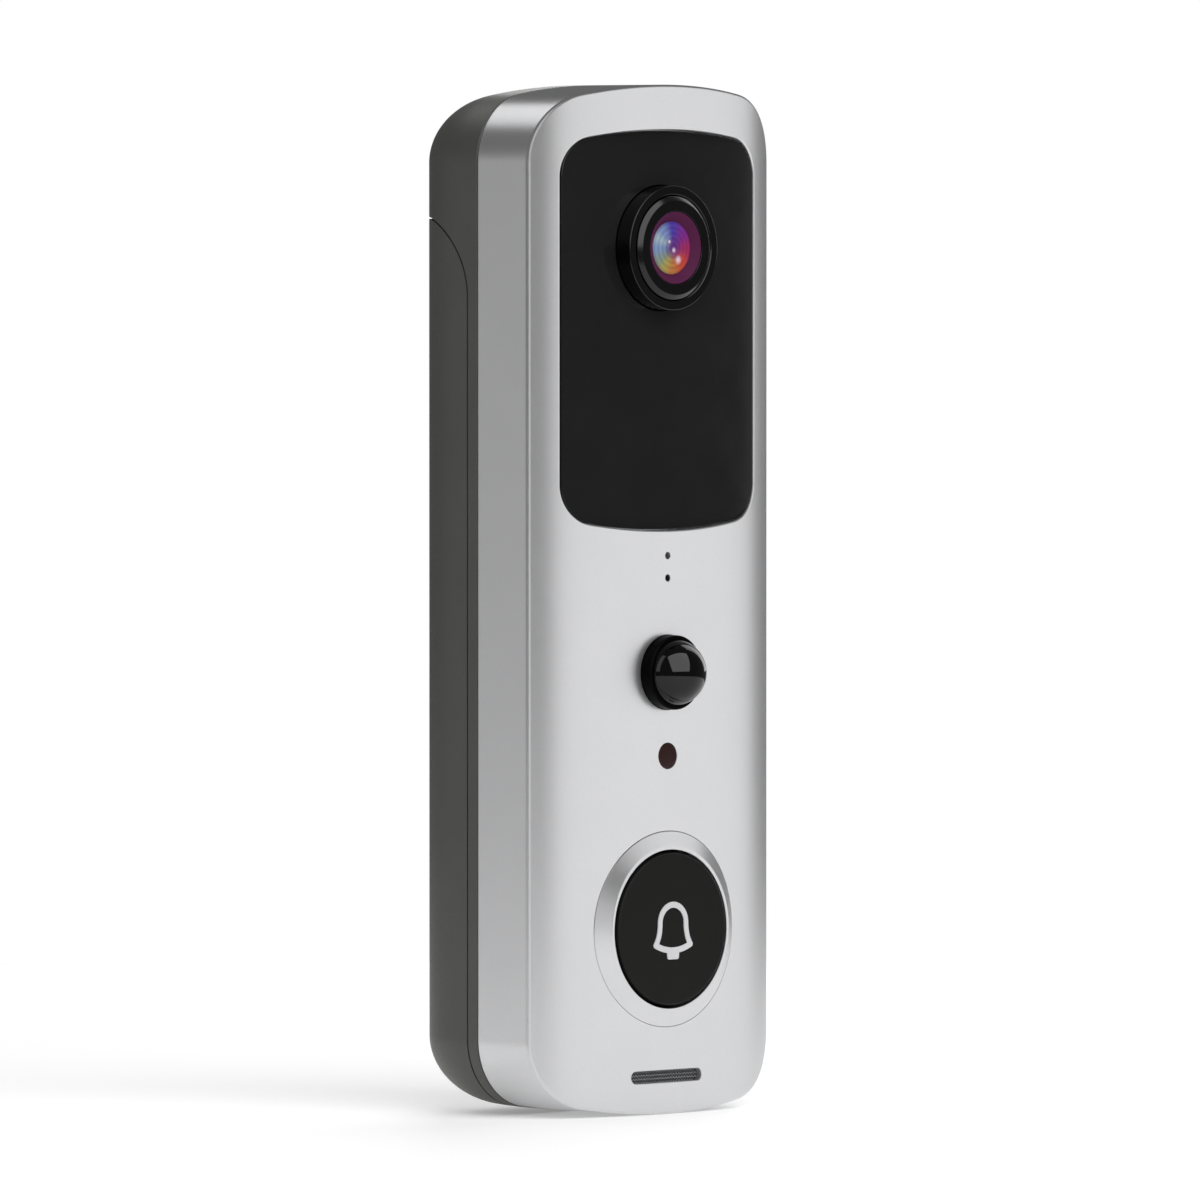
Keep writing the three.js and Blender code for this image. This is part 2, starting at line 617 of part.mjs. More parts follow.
function lensBarrel() {
  const bore = BARREL_RADIUS - BARREL_WALL;
  const lip = BARREL_RADIUS + BARREL_LIP;
  const seat = bore - REAR_LENS_SEAT;
  return turned(
    [
      [bore, BARREL_FRONT],
      [lip - BARREL_CHAMFER, BARREL_FRONT],
      [lip, BARREL_FRONT + BARREL_PROUD],
      [lip, BARREL_FRONT + BARREL_LEDGE],
      [BARREL_RADIUS, BARREL_FRONT + BARREL_LEDGE],
      [BARREL_RADIUS, BARREL_REAR],
      [seat, BARREL_REAR],
      [seat, BARREL_REAR - REAR_LENS_SEAT],
      [bore, BARREL_REAR - REAR_LENS_SEAT],
      [bore, BARREL_FRONT],
    ],
    0,
    LENS_Z,
  );
}

// The front element: a low dome just behind the barrel's nose.
function lensGlass() {
  const rim = BARREL_FRONT + GLASS_SINK;
  const dome = sampled(0, Math.PI / 2, 4, (angle) => [
    GLASS_RADIUS * Math.cos(angle),
    rim - GLASS_RISE * Math.sin(angle),
  ]).reverse();
  const tip = rim - GLASS_RISE;
  const back = BARREL_FRONT + GLASS_THICKNESS;
  return turned([[0, tip], ...dome, [GLASS_RADIUS, back], [0, back]], 0, LENS_Z);
}

function rearLens() {
  const back = BARREL_REAR - REAR_LENS_SEAT - PART_GAP;
  return turned(
    [
      [0, back - 2.6],
      [REAR_LENS_RADIUS * 0.6, back - 2.4],
      [REAR_LENS_RADIUS, back - 1.9],
      [REAR_LENS_RADIUS, back],
      [0, back],
    ],
    0,
    LENS_Z,
  );
}

function cameraHolder() {
  const half = BARREL_RADIUS + HOLDER_WALL;
  const inner = half - HOLDER_WALL;
  const body = block(-half, half, HOLDER_FRONT, HOLDER_REAR, LENS_Z - half, LENS_Z + half);
  const roomFront = HOLDER_REAR - 2 * IMAGE_SENSOR.thickness;
  const room = block(-inner, inner, roomFront, FAR, LENS_Z - inner, LENS_Z + inner);
  return cut(body, room, rod(BARREL_RADIUS + PART_GAP, -FAR, FAR, 0, LENS_Z, CIRCLE));
}

// ---------------------------------------------------------------- sensors on the front

function pirLens() {
  const centre = FACE - PIR_PROUD;
  const flangeBack = FACE + FRONT_WALL + FIT_GAP + PIR_FLANGE_THICKNESS;
  const skin = PIR_RADIUS - PIR_SKIN;
  const flange = PIR_RADIUS + PIR_FLANGE_WIDTH;
  const outside = sampled(Math.PI / 2, 0, 6, (angle) => [
    PIR_RADIUS * Math.cos(angle),
    centre - PIR_RADIUS * Math.sin(angle),
  ]);
  const inside = sampled(0, Math.PI / 2, 4, (angle) => [
    skin * Math.cos(angle),
    centre - skin * Math.sin(angle),
  ]);
  const foot = [
    [PIR_RADIUS, flangeBack - PIR_FLANGE_THICKNESS + FIT_GAP],
    [flange, flangeBack - PIR_FLANGE_THICKNESS + FIT_GAP],
    [flange, flangeBack],
    [skin, flangeBack],
  ];
  return turned([[0, centre - PIR_RADIUS], ...outside.slice(1), ...foot, ...inside], 0, PIR_Z);
}

const pirSensor = () => rod(PIR_CAN_RADIUS, BOARD_Y - PIR_CAN_LENGTH, BOARD_Y - PART_GAP, 0, PIR_Z, CIRCLE);

function indicatorLens() {
  const back = BOARD_Y - STATUS_LED.thickness - 2 * PART_GAP;
  return rod(INDICATOR_RADIUS, FACE + 0.1, back - FIT_GAP, 0, INDICATOR_Z);
}

const chargeLightPipe = () =>
  rod(PINHOLE_RADIUS - PART_GAP, FACE + 0.15, BOARD_Y - FIT_GAP, 0, CHARGE_LIGHT_Z);

function microphoneGasket() {
  const back = BOARD_Y - PART_GAP - MICROPHONE.thickness - PART_GAP;
  const front = FACE + FRONT_WALL + FIT_GAP;
  return cut(
    rod(MIC_GASKET_RADIUS, front, back, 0, MIC_Z),
    rod(PINHOLE_RADIUS, -FAR, FAR, 0, MIC_Z),
  );
}

// ---------------------------------------------------------------- bell button

const BEZEL_BACK = FACE + BEZEL_SEAT + BEZEL_NECK_LENGTH;
const CAP_FRONT = FACE - CAP_PROUD;
const SWITCH_FRONT = BOARD_Y - PART_GAP - SWITCH_HEIGHT;
const PLUNGER_FRONT = CAP_FRONT + CAP_FACE + 1.05;

function buttonBezel() {
  const neck = BEZEL_BORE_RADIUS + BEZEL_NECK_WALL;
  const rim = FACE - BEZEL_PROUD;
  const section = (angle) => [
    [BEZEL_BORE_RADIUS, BEZEL_BACK],
    [BEZEL_BORE_RADIUS, rim],
    [BEZEL_RIM_RADIUS, rim],
    [BEZEL_RADIUS, faceY(BEZEL_RADIUS * Math.cos(angle))],
    [BEZEL_RADIUS, FACE + BEZEL_SEAT - PART_GAP],
    [neck, FACE + BEZEL_SEAT - PART_GAP],
    [neck, BEZEL_BACK],
  ];
  return sweptRing(section, 0, BUTTON_Z, CIRCLE);
}

function buttonCap() {
  const inner = CAP_RADIUS - CAP_SKIRT_WALL;
  const under = CAP_FRONT + CAP_FACE;
  const flangeFront = BEZEL_BACK + FIT_GAP;
  const flangeBack = flangeFront + CAP_FLANGE_THICKNESS;
  return turned(
    [
      [0, CAP_FRONT],
      [CAP_RADIUS - CAP_EDGE, CAP_FRONT],
      [CAP_RADIUS, CAP_FRONT + CAP_EDGE],
      [CAP_RADIUS, flangeFront],
      [CAP_RADIUS + CAP_FLANGE_WIDTH, flangeFront],
      [CAP_RADIUS + CAP_FLANGE_WIDTH, flangeBack],
      [inner, flangeBack],
      [inner, under],
      [CAP_POST_RADIUS, under],
      [CAP_POST_RADIUS, PLUNGER_FRONT - PART_GAP],
      [0, PLUNGER_FRONT - PART_GAP],
    ],
    0,
    BUTTON_Z,
  );
}

// Outline of a bell: round head, flared foot and a shallow curved lower edge.
function bellOutline(inset) {
  const head = SYMBOL_HALF_DOME - inset;
  const foot = SYMBOL_HALF_FOOT - inset * 1.6;
  const top = SYMBOL_HALF_HEIGHT - inset;
  const low = -SYMBOL_HALF_HEIGHT + inset;
  const right = [
    new THREE.Vector2(foot, low),
    new THREE.Vector2(head * 1.12, low + 1.5),
    new THREE.Vector2(head, low + 2.6),
    ...arc(0, top - head, head, 0, Math.PI / 2, 6),
  ];
  const left = right.slice(0, -1).reverse().map((point) => new THREE.Vector2(-point.x, point.y));
  return [...right, ...left].map((point) => new THREE.Vector2(point.x, point.y + BUTTON_Z + 0.3));
}

function bellSymbol() {
  const back = CAP_FRONT - 0.02;
  const front = back - SYMBOL_THICKNESS;
  const bell = alongY(bellOutline(0), front, back, [bellOutline(SYMBOL_STROKE)]);
  const clapperZ = BUTTON_Z + 0.3 - SYMBOL_HALF_HEIGHT;
  const clapper = alongY(arc(0, clapperZ + 0.1, SYMBOL_CLAPPER, Math.PI, 2 * Math.PI, 8), front, back);
  return join(bell, clapper);
}

function buttonSwitch() {
  const half = SWITCH_SIZE / 2;
  const body = block(-half, half, SWITCH_FRONT, BOARD_Y - PART_GAP, BUTTON_Z - half, BUTTON_Z + half);
  const well = SWITCH_FRONT + PLUNGER_SUNK + BUTTON_TRAVEL + PART_GAP;
  return cut(body, rod(PLUNGER_RADIUS + PART_GAP, -FAR, well, 0, BUTTON_Z));
}

const switchPlunger = () =>
  rod(PLUNGER_RADIUS, PLUNGER_FRONT, SWITCH_FRONT + PLUNGER_SUNK, 0, BUTTON_Z);

// ---------------------------------------------------------------- speaker

const SPEAKER_FRONT = BOARD_BACK + SPEAKER_GASKET + 3 * PART_GAP;

function speakerMesh() {
  const front = FACE + MESH_COVER + PART_GAP;
  const size = {
    width: SLOT_LENGTH + 2 * MESH_MARGIN,
    height: SLOT_HEIGHT + 2 * MESH_MARGIN,
    thickness: MESH_THICKNESS,
  };
  return slab(size, 0, front, SLOT_Z);
}

// A rubber frame that leads the sound from the speaker to the slot.
function soundDuct() {
  const half = SLOT_LENGTH / 2 + DUCT_WALL;
  const front = faceY(half) + FRONT_WALL + FIT_GAP;
  const back = BOARD_BACK;
  const low = BOTTOM + SIDE_WALL + 2 * SLIDE_GAP;
  const high = low + DUCT_HEIGHT;
  const body = block(-half, half, front, back, low, high);
  const room = half - DUCT_WALL;
  return cut(body, block(-room, room, -FAR, FAR, low + DUCT_WALL, high - DUCT_WALL));
}

function speakerGasket() {
  const front = BOARD_BACK + 2 * PART_GAP;
  const inner = SPEAKER_RADIUS - SPEAKER_RIM;
  return turned(
    [
      [inner, front],
      [SPEAKER_RADIUS, front],
      [SPEAKER_RADIUS, front + SPEAKER_GASKET],
      [inner, front + SPEAKER_GASKET],
      [inner, front],
    ],
    0,
    SPEAKER_Z,
  );
}

function speakerFrame() {
  const back = SPEAKER_FRONT + SPEAKER_DEPTH - MAGNET_DEPTH;
  const inner = SPEAKER_RADIUS - SPEAKER_RIM;
  return turned(
    [
      [inner, SPEAKER_FRONT],
      [SPEAKER_RADIUS, SPEAKER_FRONT],
      [SPEAKER_RADIUS, SPEAKER_FRONT + 1.2],
      [MAGNET_RADIUS + 1, back],
      [MAGNET_RADIUS - 2, back],
      [MAGNET_RADIUS - 2, back - 0.8],
      [MAGNET_RADIUS, back - 0.8],
      [inner, SPEAKER_FRONT + 0.8],
      [inner, SPEAKER_FRONT],
    ],
    0,
    SPEAKER_Z,
  );
}

function speakerCone() {
  const edge = SPEAKER_RADIUS - SPEAKER_RIM - FIT_GAP;
  const front = SPEAKER_FRONT + 0.2;
  return turned(
    [
      [0, front + 1.4],
      [2.4, front + 1.6],
      [edge, front],
      [edge, front + 0.25],
      [2.4, front + 1.9],
      [0, front + 1.7],
    ],
    0,
    SPEAKER_Z,
  );
}

function speakerMagnet() {
  const front = SPEAKER_FRONT + SPEAKER_DEPTH - MAGNET_DEPTH + PART_GAP;
  return rod(MAGNET_RADIUS, front, front + MAGNET_DEPTH, 0, SPEAKER_Z, CIRCLE);
}

// ---------------------------------------------------------------- boards

function mainBoard() {
  const low = BOTTOM + BOARD_BOTTOM_RISE;
  const high = TOP - BOARD_TOP_DROP;
  const half = (high - low) / 2;
  const reach = BOARD_HALF_WIDTH - BOARD_CORNER;
  const rise = half - BOARD_CORNER;
  const quarter = Math.PI / 2;
  const corners = [[1, 1], [-1, 1], [-1, -1], [1, -1]];
  const outline = corners.flatMap(([side, up], i) =>
    arc(side * reach, (low + high) / 2 + up * rise, BOARD_CORNER, i * quarter, (i + 1) * quarter, 3),
  );
  const board = alongY(outline, BOARD_Y, BOARD_BACK);
  return cut(board, rod(BARREL_RADIUS + SLIDE_GAP, -FAR, FAR, 0, LENS_Z, CIRCLE));
}

// ---------------------------------------------------------------- batteries

function cell(x) {
  const length = CELL_LENGTH;
  const bottom = CELL_BOTTOM;
  const profile = [
    [0, bottom],
    [CELL_RADIUS - 0.4, bottom],
    [CELL_RADIUS, bottom + 0.4],
    [CELL_RADIUS, bottom + length - 0.4],
    [CELL_RADIUS - 0.4, bottom + length],
    [CELL_NUB.radius, bottom + length],
    [CELL_NUB.radius, bottom + length + CELL_NUB.height],
    [0, bottom + length + CELL_NUB.height],
  ];
  const points = profile.map(([radius, height]) => new THREE.Vector2(radius, height));
  const geometry = new THREE.LatheGeometry(points, CIRCLE);
  geometry.rotateX(Math.PI / 2);
  geometry.translate(x, CELL_Y, 0);
  return solid(geometry);
}

// A conical contact spring of three turns on a small plate.
function batterySpring(x) {
  const base = BAY_BOTTOM + PART_GAP;
  const turns = 2.5;
  const height = SPRING_LENGTH - SPRING_WIRE - 3 * PART_GAP;
  const points = sampled(0, 1, 24, (share) => {
    const angle = 2 * Math.PI * turns * share;
    const radius = SPRING_RADIUS * (1 - 0.45 * share);
    return new THREE.Vector3(
      x + radius * Math.cos(angle),
      CELL_Y + radius * Math.sin(angle),
      base + SPRING_WIRE / 2 + height * share,
    );
  });
  const path = new THREE.CatmullRomCurve3(points);
  const wire = new THREE.Shape(arc(0, 0, SPRING_WIRE / 2, 0, 2 * Math.PI, 5).slice(0, -1));
  return solid(new THREE.ExtrudeGeometry(wire, { steps: 30, extrudePath: path }));
}

function contactPlate(x) {
  const { width, height, thickness } = CONTACT_PLATE;
  const high = BAY_TOP - PART_GAP;
  const [across, deep] = [width / 2, height / 2];
  return block(x - across, x + across, CELL_Y - deep, CELL_Y + deep, high - thickness, high);
}

// ---------------------------------------------------------------- housing

const CHAMBER_BOTTOM = SPEAKER_Z - SPEAKER_RADIUS - FIT_GAP - CHAMBER_WALL;
const CHAMBER_TOP = SERVICE_Z + SERVICE_BOARD.height / 2 + FIT_GAP + CHAMBER_WALL;
const CHAMBER_HALF_WIDTH = Math.max(SERVICE_BOARD.width / 2, SPEAKER_RADIUS) + FIT_GAP + CHAMBER_WALL;
const SERVICE_BACK = CHAMBER_REAR - CHAMBER_WALL - SERVICE_DEPTH;
const SERVICE_FRONT = SERVICE_BACK - SERVICE_BOARD.thickness;
const RAIL_FRONT = SEAM + RAIL_FROM_SEAM;
const RAIL_BACK = RAIL_FRONT + RAIL_DEPTH;
const RAIL_X = HALF_WIDTH - COVER_WALL - RAIL_WIDTH;
const TONGUE_BACK = -COVER_WALL - TONGUE.wallGap;
const TONGUE_FRONT = TONGUE_BACK - TONGUE.thickness;
const HOOK_Z = BOTTOM + HOOK_RISE;

// A box hollow that is open to the front, as an outer block and the room inside it.
function bay(halfWidth, rear, low, high, wall) {
  return {
    outer: block(-halfWidth, halfWidth, SHELL_BACK + PART_GAP, rear, low, high),
    room: block(-halfWidth + wall, halfWidth - wall, -FAR, rear - wall, low + wall, high - wall),
  };
}

function railHook(side) {
  const wallOut = RAIL_X - SLIDE_GAP - 0.1;
  const wallIn = wallOut - RAIL_HOOK_WALL;
  const lipOut = RAIL_X + RAIL_GRIP;
  const lipFront = RAIL_BACK + SLIDE_GAP;
  const lipBack = lipFront + RAIL_HOOK_WALL;
  const across = (a, b) => [Math.min(side * a, side * b), Math.max(side * a, side * b)];
  const low = HOOK_Z - HOOK_HEIGHT / 2;
  const high = HOOK_Z + HOOK_HEIGHT / 2;
  return join(
    block(...across(wallIn, wallOut), SEAM - 0.5, lipBack, low, high),
    block(...across(wallIn, lipOut), lipFront, lipBack, low, high),
  );
}

// Pads and posts that the boards and the speaker rest on.
function housingSupports() {
  const bayPads = [BAY_TOP - BAY_PAD_INSET, BAY_BOTTOM + BAY_PAD_INSET].flatMap((z) =>
    [-1, 1].map((side) => {
      const x = side * (BOARD_HALF_WIDTH - BOARD_PAD_INSET);
      return rod(BOARD_PAD_RADIUS, BOARD_BACK + PART_GAP, BAY_FLOOR - BAY_WALL / 2, x, z);
    }),
  );
  const cameraPads = [-1, 1].map((side) => {
    const x = side * (CAMERA_BOARD.width / 2 - BOARD_PAD_INSET);
    const front = HOLDER_REAR + CAMERA_BOARD.thickness + 2 * PART_GAP;
    return rod(BOARD_PAD_RADIUS, front, -CAMERA_BAY_REAR - BAY_WALL / 2, x, LENS_Z);
  });
  const chamberFloor = CHAMBER_REAR - CHAMBER_WALL / 2;
  const magnetBack = SPEAKER_FRONT + SPEAKER_DEPTH + 2 * PART_GAP;
  const speakerPost = rod(MAGNET_RADIUS - 1, magnetBack, chamberFloor, 0, SPEAKER_Z);
  const postFront = SERVICE_BACK + PART_GAP;
  const servicePosts = SERVICE_POSTS.map((x) => rod(1, postFront, chamberFloor, x, SERVICE_Z));
  return [...bayPads, ...cameraPads, speakerPost, ...servicePosts];
}

function rearHousing() {
  const whole = backForm(0, SHELL_BACK + PART_GAP);
  const skin = cut(whole, coverSpace(0));
  const headRoom = cut(
    backForm(COVER_WALL, -FAR),
    coverSpace(HEAD_SEAM_WALL),
    block(-FAR, FAR, -FAR, FAR, -FAR, COVER_TOP - SEAM_RADIUS + BOSS_RADIUS),
  );
  const camera = bay(
    CAMERA_BOARD.width / 2 + CAMERA_BAY_MARGIN + BAY_WALL,
    -CAMERA_BAY_REAR,
    BAY_TOP,
    LENS_Z + CAMERA_BOARD.height / 2 + CAMERA_BAY_MARGIN + BAY_WALL,
    BAY_WALL,
  );
  const chamber = bay(CHAMBER_HALF_WIDTH, CHAMBER_REAR, CHAMBER_BOTTOM, CHAMBER_TOP, CHAMBER_WALL);
  const well = block(
    -BAY_HALF_WIDTH - BAY_WALL,
    BAY_HALF_WIDTH + BAY_WALL,
    BAY_FLOOR - BAY_WALL,
    SEAM,
    BAY_BOTTOM - BAY_WALL,
    BAY_TOP + BAY_WALL,
  );
  const wellRoom = block(-BAY_HALF_WIDTH, BAY_HALF_WIDTH, BAY_FLOOR, FAR, BAY_BOTTOM, BAY_TOP);
  const tongueSlot = block(
    -TONGUE.halfWidth - SLIDE_GAP,
    TONGUE.halfWidth + SLIDE_GAP,
    TONGUE_FRONT - SLIDE_GAP,
    -COVER_WALL,
    COVER_TOP - 1,
    COVER_TOP + TONGUE.height + SLIDE_GAP,
  );
  let housing = join(skin, camera.outer, chamber.outer, well, railHook(-1), railHook(1));
  housing = cut(housing, headRoom, camera.room, chamber.room, wellRoom, tongueSlot);
  housing = join(housing, ...housingSupports());
  for (const z of SCREW_ROWS) {
    for (const side of [-1, 1]) {
      housing = housing.subtract(rod(SCREW_SHANK.radius + FIT_GAP, -FAR, SEAM + 1, side * SCREW_X, z));
    }
  }
  const groove = cut(
    alongY(bodyOutline(SEAL.inset - FIT_GAP / 3), -FAR, SHELL_BACK + PART_GAP + SEAL.depth),
    alongY(bodyOutline(SEAL.inset + SEAL.width + FIT_GAP / 3), -FAR, FAR),
  );
  const usb = USB_SOCKET;
  return cut(
    housing,
    groove,
    block(
      -USB_OFFSET - usb.width / 2 - FIT_GAP,
      -USB_OFFSET + usb.width / 2 + FIT_GAP,
      CHAMBER_REAR - 3,
      FAR,
      SERVICE_Z - usb.height / 2 - FIT_GAP,
      SERVICE_Z + usb.height / 2 + FIT_GAP,
    ),
    rod(RESET_RADIUS + FIT_GAP, CHAMBER_REAR - 3, FAR, RESET_OFFSET, SERVICE_Z),
    lockBore(),
  );
}

function housingSeal() {
  const front = SHELL_BACK + PART_GAP;
  return alongY(
    bodyOutline(SEAL.inset),
    front,
    front + SEAL.depth - PART_GAP,
    [bodyOutline(SEAL.inset + SEAL.width)],
  );
}

// ---------------------------------------------------------------- service board

const RESET_SWITCH_BACK = SERVICE_BACK + PART_GAP + RESET_SWITCH.height;

function usbSocket() {
  const { width, height, shell } = USB_SOCKET;
  const back = CHAMBER_REAR - 0.1;
  const x0 = -USB_OFFSET - width / 2;
  const [low, high] = [SERVICE_Z - height / 2, SERVICE_Z + height / 2];
  const body = block(x0, x0 + width, SERVICE_BACK + PART_GAP, back, low, high);
  const mouth = block(
    x0 + shell,
    x0 + width - shell,
    SERVICE_BACK + 1,
    FAR,
    low + shell,
    high - shell,
  );
  const { side, thickness } = USB_TONGUE;
  const tongue = block(
    x0 + side,
    x0 + width - side,
    SERVICE_BACK + 0.5,
    back - 0.6,
    SERVICE_Z - thickness / 2,
    SERVICE_Z + thickness / 2,
  );
  return join(cut(body, mouth), tongue);
}

function resetSwitch() {
  const half = RESET_SWITCH.size / 2;
  return block(
    RESET_OFFSET - half,
    RESET_OFFSET + half,
    SERVICE_BACK + PART_GAP,
    RESET_SWITCH_BACK,
    SERVICE_Z - half,
    SERVICE_Z + half,
  );
}

function resetButton() {
  const foot = RESET_SWITCH_BACK + PART_GAP + RESET_TRAVEL;
  const tip = CHAMBER_REAR + RESET_PROUD;
  return turned(
    [
      [0, foot],
      [RESET_FLANGE.radius, foot],
      [RESET_FLANGE.radius, foot + RESET_FLANGE.thickness],
      [RESET_RADIUS, foot + RESET_FLANGE.thickness],
      [RESET_RADIUS, tip - 0.3],
      [RESET_RADIUS - 0.3, tip],
      [0, tip],
    ],
    RESET_OFFSET,
    SERVICE_Z,
    SMALL_CIRCLE,
  );
}

// ---------------------------------------------------------------- leads

// A flat lead drawn in Y and Z as a bent strip: forward run at height z, then along the board at depth.
function bentStrip(width, thickness, x, front, depth, z, end) {
  const outer = z - Math.sign(end - z) * thickness;
  const points = [
    new THREE.Vector2(front, z),
    new THREE.Vector2(depth - thickness, z),
    new THREE.Vector2(depth - thickness, end),
    new THREE.Vector2(depth, end),
    new THREE.Vector2(depth, outer),
    new THREE.Vector2(front, outer),
  ];
  return alongX(points, x - width / 2, x + width / 2);
}

function cameraRibbon() {
  const low = LENS_Z - Math.max(CAMERA_BOARD.height / 2, BARREL_RADIUS + HOLDER_WALL) - PART_GAP;
  const depth = HOLDER_REAR + CAMERA_BOARD.thickness + RIBBON.thickness + 2 * PART_GAP;
  const front = BOARD_BACK + FIT_GAP;
  return bentStrip(RIBBON.width, RIBBON.thickness, 0, front, depth, low, low + RIBBON.tail);
}

function speakerLead() {
  const high = SPEAKER_Z + SPEAKER_RADIUS + FIT_GAP;
  const frameBack = SPEAKER_FRONT + SPEAKER_DEPTH - MAGNET_DEPTH;
  const end = SPEAKER_Z + MAGNET_RADIUS + FIT_GAP;
  const depth = frameBack + SLIDE_GAP + LEAD.thickness;
  return bentStrip(LEAD.width, LEAD.thickness, 0, BOARD_BACK + FIT_GAP, depth, high, end);
}

// ---------------------------------------------------------------- rear cover and fasteners

// A round rod along Z.
function post(radius, low, high, y) {
  const geometry = new THREE.CylinderGeometry(radius, radius, high - low, SMALL_CIRCLE);
  geometry.rotateX(Math.PI / 2);
  geometry.translate(0, y, (low + high) / 2);
  return solid(geometry);
}

const LOCK_HEAD_LOW = BOTTOM + 0.7;
const LOCK_TIP = LOCK_HEAD_LOW + LOCK_SCREW.length;
const lockBore = () => post(LOCK_SCREW.shank + FIT_GAP, BOTTOM, LOCK_TIP + SLIDE_GAP, LOCK_SCREW_Y);

function rearCover() {
  const skin = cut(backForm(0, SHELL_BACK), backForm(COVER_WALL, -FAR));
  let cover = skin.intersect(coverSpace(-SEAM_GAP));
  for (const side of [-1, 1]) {
    const edges = [side * RAIL_X, side * (HALF_WIDTH - COVER_WALL / 2)].sort((a, b) => a - b);
    const reach = HOOK_HEIGHT / 2;
    cover = cover.add(block(...edges, RAIL_FRONT, RAIL_BACK, HOOK_Z - reach, HOOK_Z + reach));
  }
  const { halfWidth, height, root } = TONGUE;
  const tongueLow = COVER_TOP - root;
  cover = join(
    cover,
    block(-halfWidth, halfWidth, TONGUE_FRONT, TONGUE_BACK, tongueLow, COVER_TOP + height),
    block(-halfWidth, halfWidth, TONGUE_FRONT, -COVER_WALL + 0.2, tongueLow, COVER_TOP - 2 * SEAM_GAP),
  );
  for (const end of [-1, 1]) {
    cover = cover.subtract(rod(WALL_HOLE_RADIUS, -COVER_WALL - 1, FAR, 0, (end * WALL_HOLE_SPREAD) / 2));
  }
  return cut(
    cover,
    post(LOCK_SCREW.head + FIT_GAP, -FAR, LOCK_HEAD_LOW + LOCK_SCREW.headHeight, LOCK_SCREW_Y),
    post(LOCK_SCREW.shank + FIT_GAP, -FAR, LOCK_TIP, LOCK_SCREW_Y),
  );
}

function lockScrew() {
  const neck = LOCK_HEAD_LOW + LOCK_SCREW.headHeight - PART_GAP;
  const body = join(
    post(LOCK_SCREW.head, LOCK_HEAD_LOW, neck, LOCK_SCREW_Y),
    post(LOCK_SCREW.shank, neck - 0.2, LOCK_TIP, LOCK_SCREW_Y),
  );
  const drive = post(0.75, -FAR, LOCK_HEAD_LOW + 0.6, LOCK_SCREW_Y);
  return cut(body, drive);
}

function caseScrew(x, z) {
  const seat = SEAM + PART_GAP;
  const body = join(
    rod(SCREW_HEAD.radius, seat, seat + SCREW_HEAD.height, x, z),
    rod(SCREW_SHANK.radius, seat - SCREW_SHANK.length, seat + 0.2, x, z),
  );
  const back = seat + SCREW_HEAD.height;
  return cut(
    body,
    block(x - 1, x + 1, back - 0.6, FAR, z - 0.2, z + 0.2),
    block(x - 0.2, x + 0.2, back - 0.6, FAR, z - 1, z + 1),
  );
}

// ---------------------------------------------------------------- materials

const finish = (color, roughness, metalness) => ({ color, roughness, metalness });
const SILVER = finish(0xb9babb, 0.42, 0.55);
const DARK_SHELL = finish(0x4b4b49, 0.5, 0.0);
const BLACK_GLOSS = finish(0x1c1d20, 0.08, 0.0);
const BLACK_MATTE = finish(0x232428, 0.6, 0.0);
const SYMBOL_GREY = finish(0xd6d6d8, 0.5, 0.0);
const BOARD_GREEN = finish(0x1f5a34, 0.55, 0.0);
const CHIP_BLACK = finish(0x17181a, 0.6, 0.0);
const TINNED = finish(0xc9cbcd, 0.3, 1.0);
const STEEL = finish(0x9a9c9f, 0.35, 1.0);
const RUBBER = finish(0x202020, 0.9, 0.0);
const COATED_GLASS = finish(0x4a3f80, 0.05, 0.0);
const RED_BROWN = finish(0x332121, 0.2, 0.0);
const CELL_WRAP = finish(0x2f6fa8, 0.35, 0.0);
const PAPER_CONE = finish(0x2b2b2b, 0.8, 0.0);
const LED_YELLOW = finish(0xd8c463, 0.3, 0.0);

const doorbell = new THREE.Group();

function add(name, made, look) {
  const mesh = new THREE.Mesh(geometryOf(made), new THREE.MeshStandardMaterial(look));
  mesh.name = name;
  doorbell.add(mesh);
}

// ---------------------------------------------------------------- assembly

add("rear_cover", rearCover(), DARK_SHELL);
add("lock_screw", lockScrew(), STEEL);
add("rear_housing", rearHousing(), DARK_SHELL);
add("housing_seal", housingSeal(), RUBBER);
add("front_shell", frontShell(), SILVER);
add("window_panel", windowPanel(), BLACK_GLOSS);

add("lens_ring", lensRing(), BLACK_MATTE);
add("lens_glass", lensGlass(), COATED_GLASS);
add("lens_barrel", lensBarrel(), BLACK_MATTE);
add("rear_lens", rearLens(), COATED_GLASS);
add("camera_holder", cameraHolder(), BLACK_MATTE);
add("image_sensor", slab(IMAGE_SENSOR, 0, HOLDER_REAR - IMAGE_SENSOR.thickness, LENS_Z), CHIP_BLACK);
add("camera_board", slab(CAMERA_BOARD, 0, HOLDER_REAR + PART_GAP, LENS_Z), BOARD_GREEN);

let ledCount = 0;
for (const rise of IR_LED_RISES) {
  for (const side of [-1, 1]) {
    ledCount += 1;
    const front = BOARD_Y - PART_GAP - IR_LED.thickness;
    add(`ir_led_${ledCount}`, slab(IR_LED, side * IR_LED_X, front, LENS_Z + rise), LED_YELLOW);
  }
}
const lightSensorFront = BOARD_Y - PART_GAP - LIGHT_SENSOR.thickness;
add("light_sensor", slab(LIGHT_SENSOR, 0, lightSensorFront, LIGHT_SENSOR_Z), CHIP_BLACK);

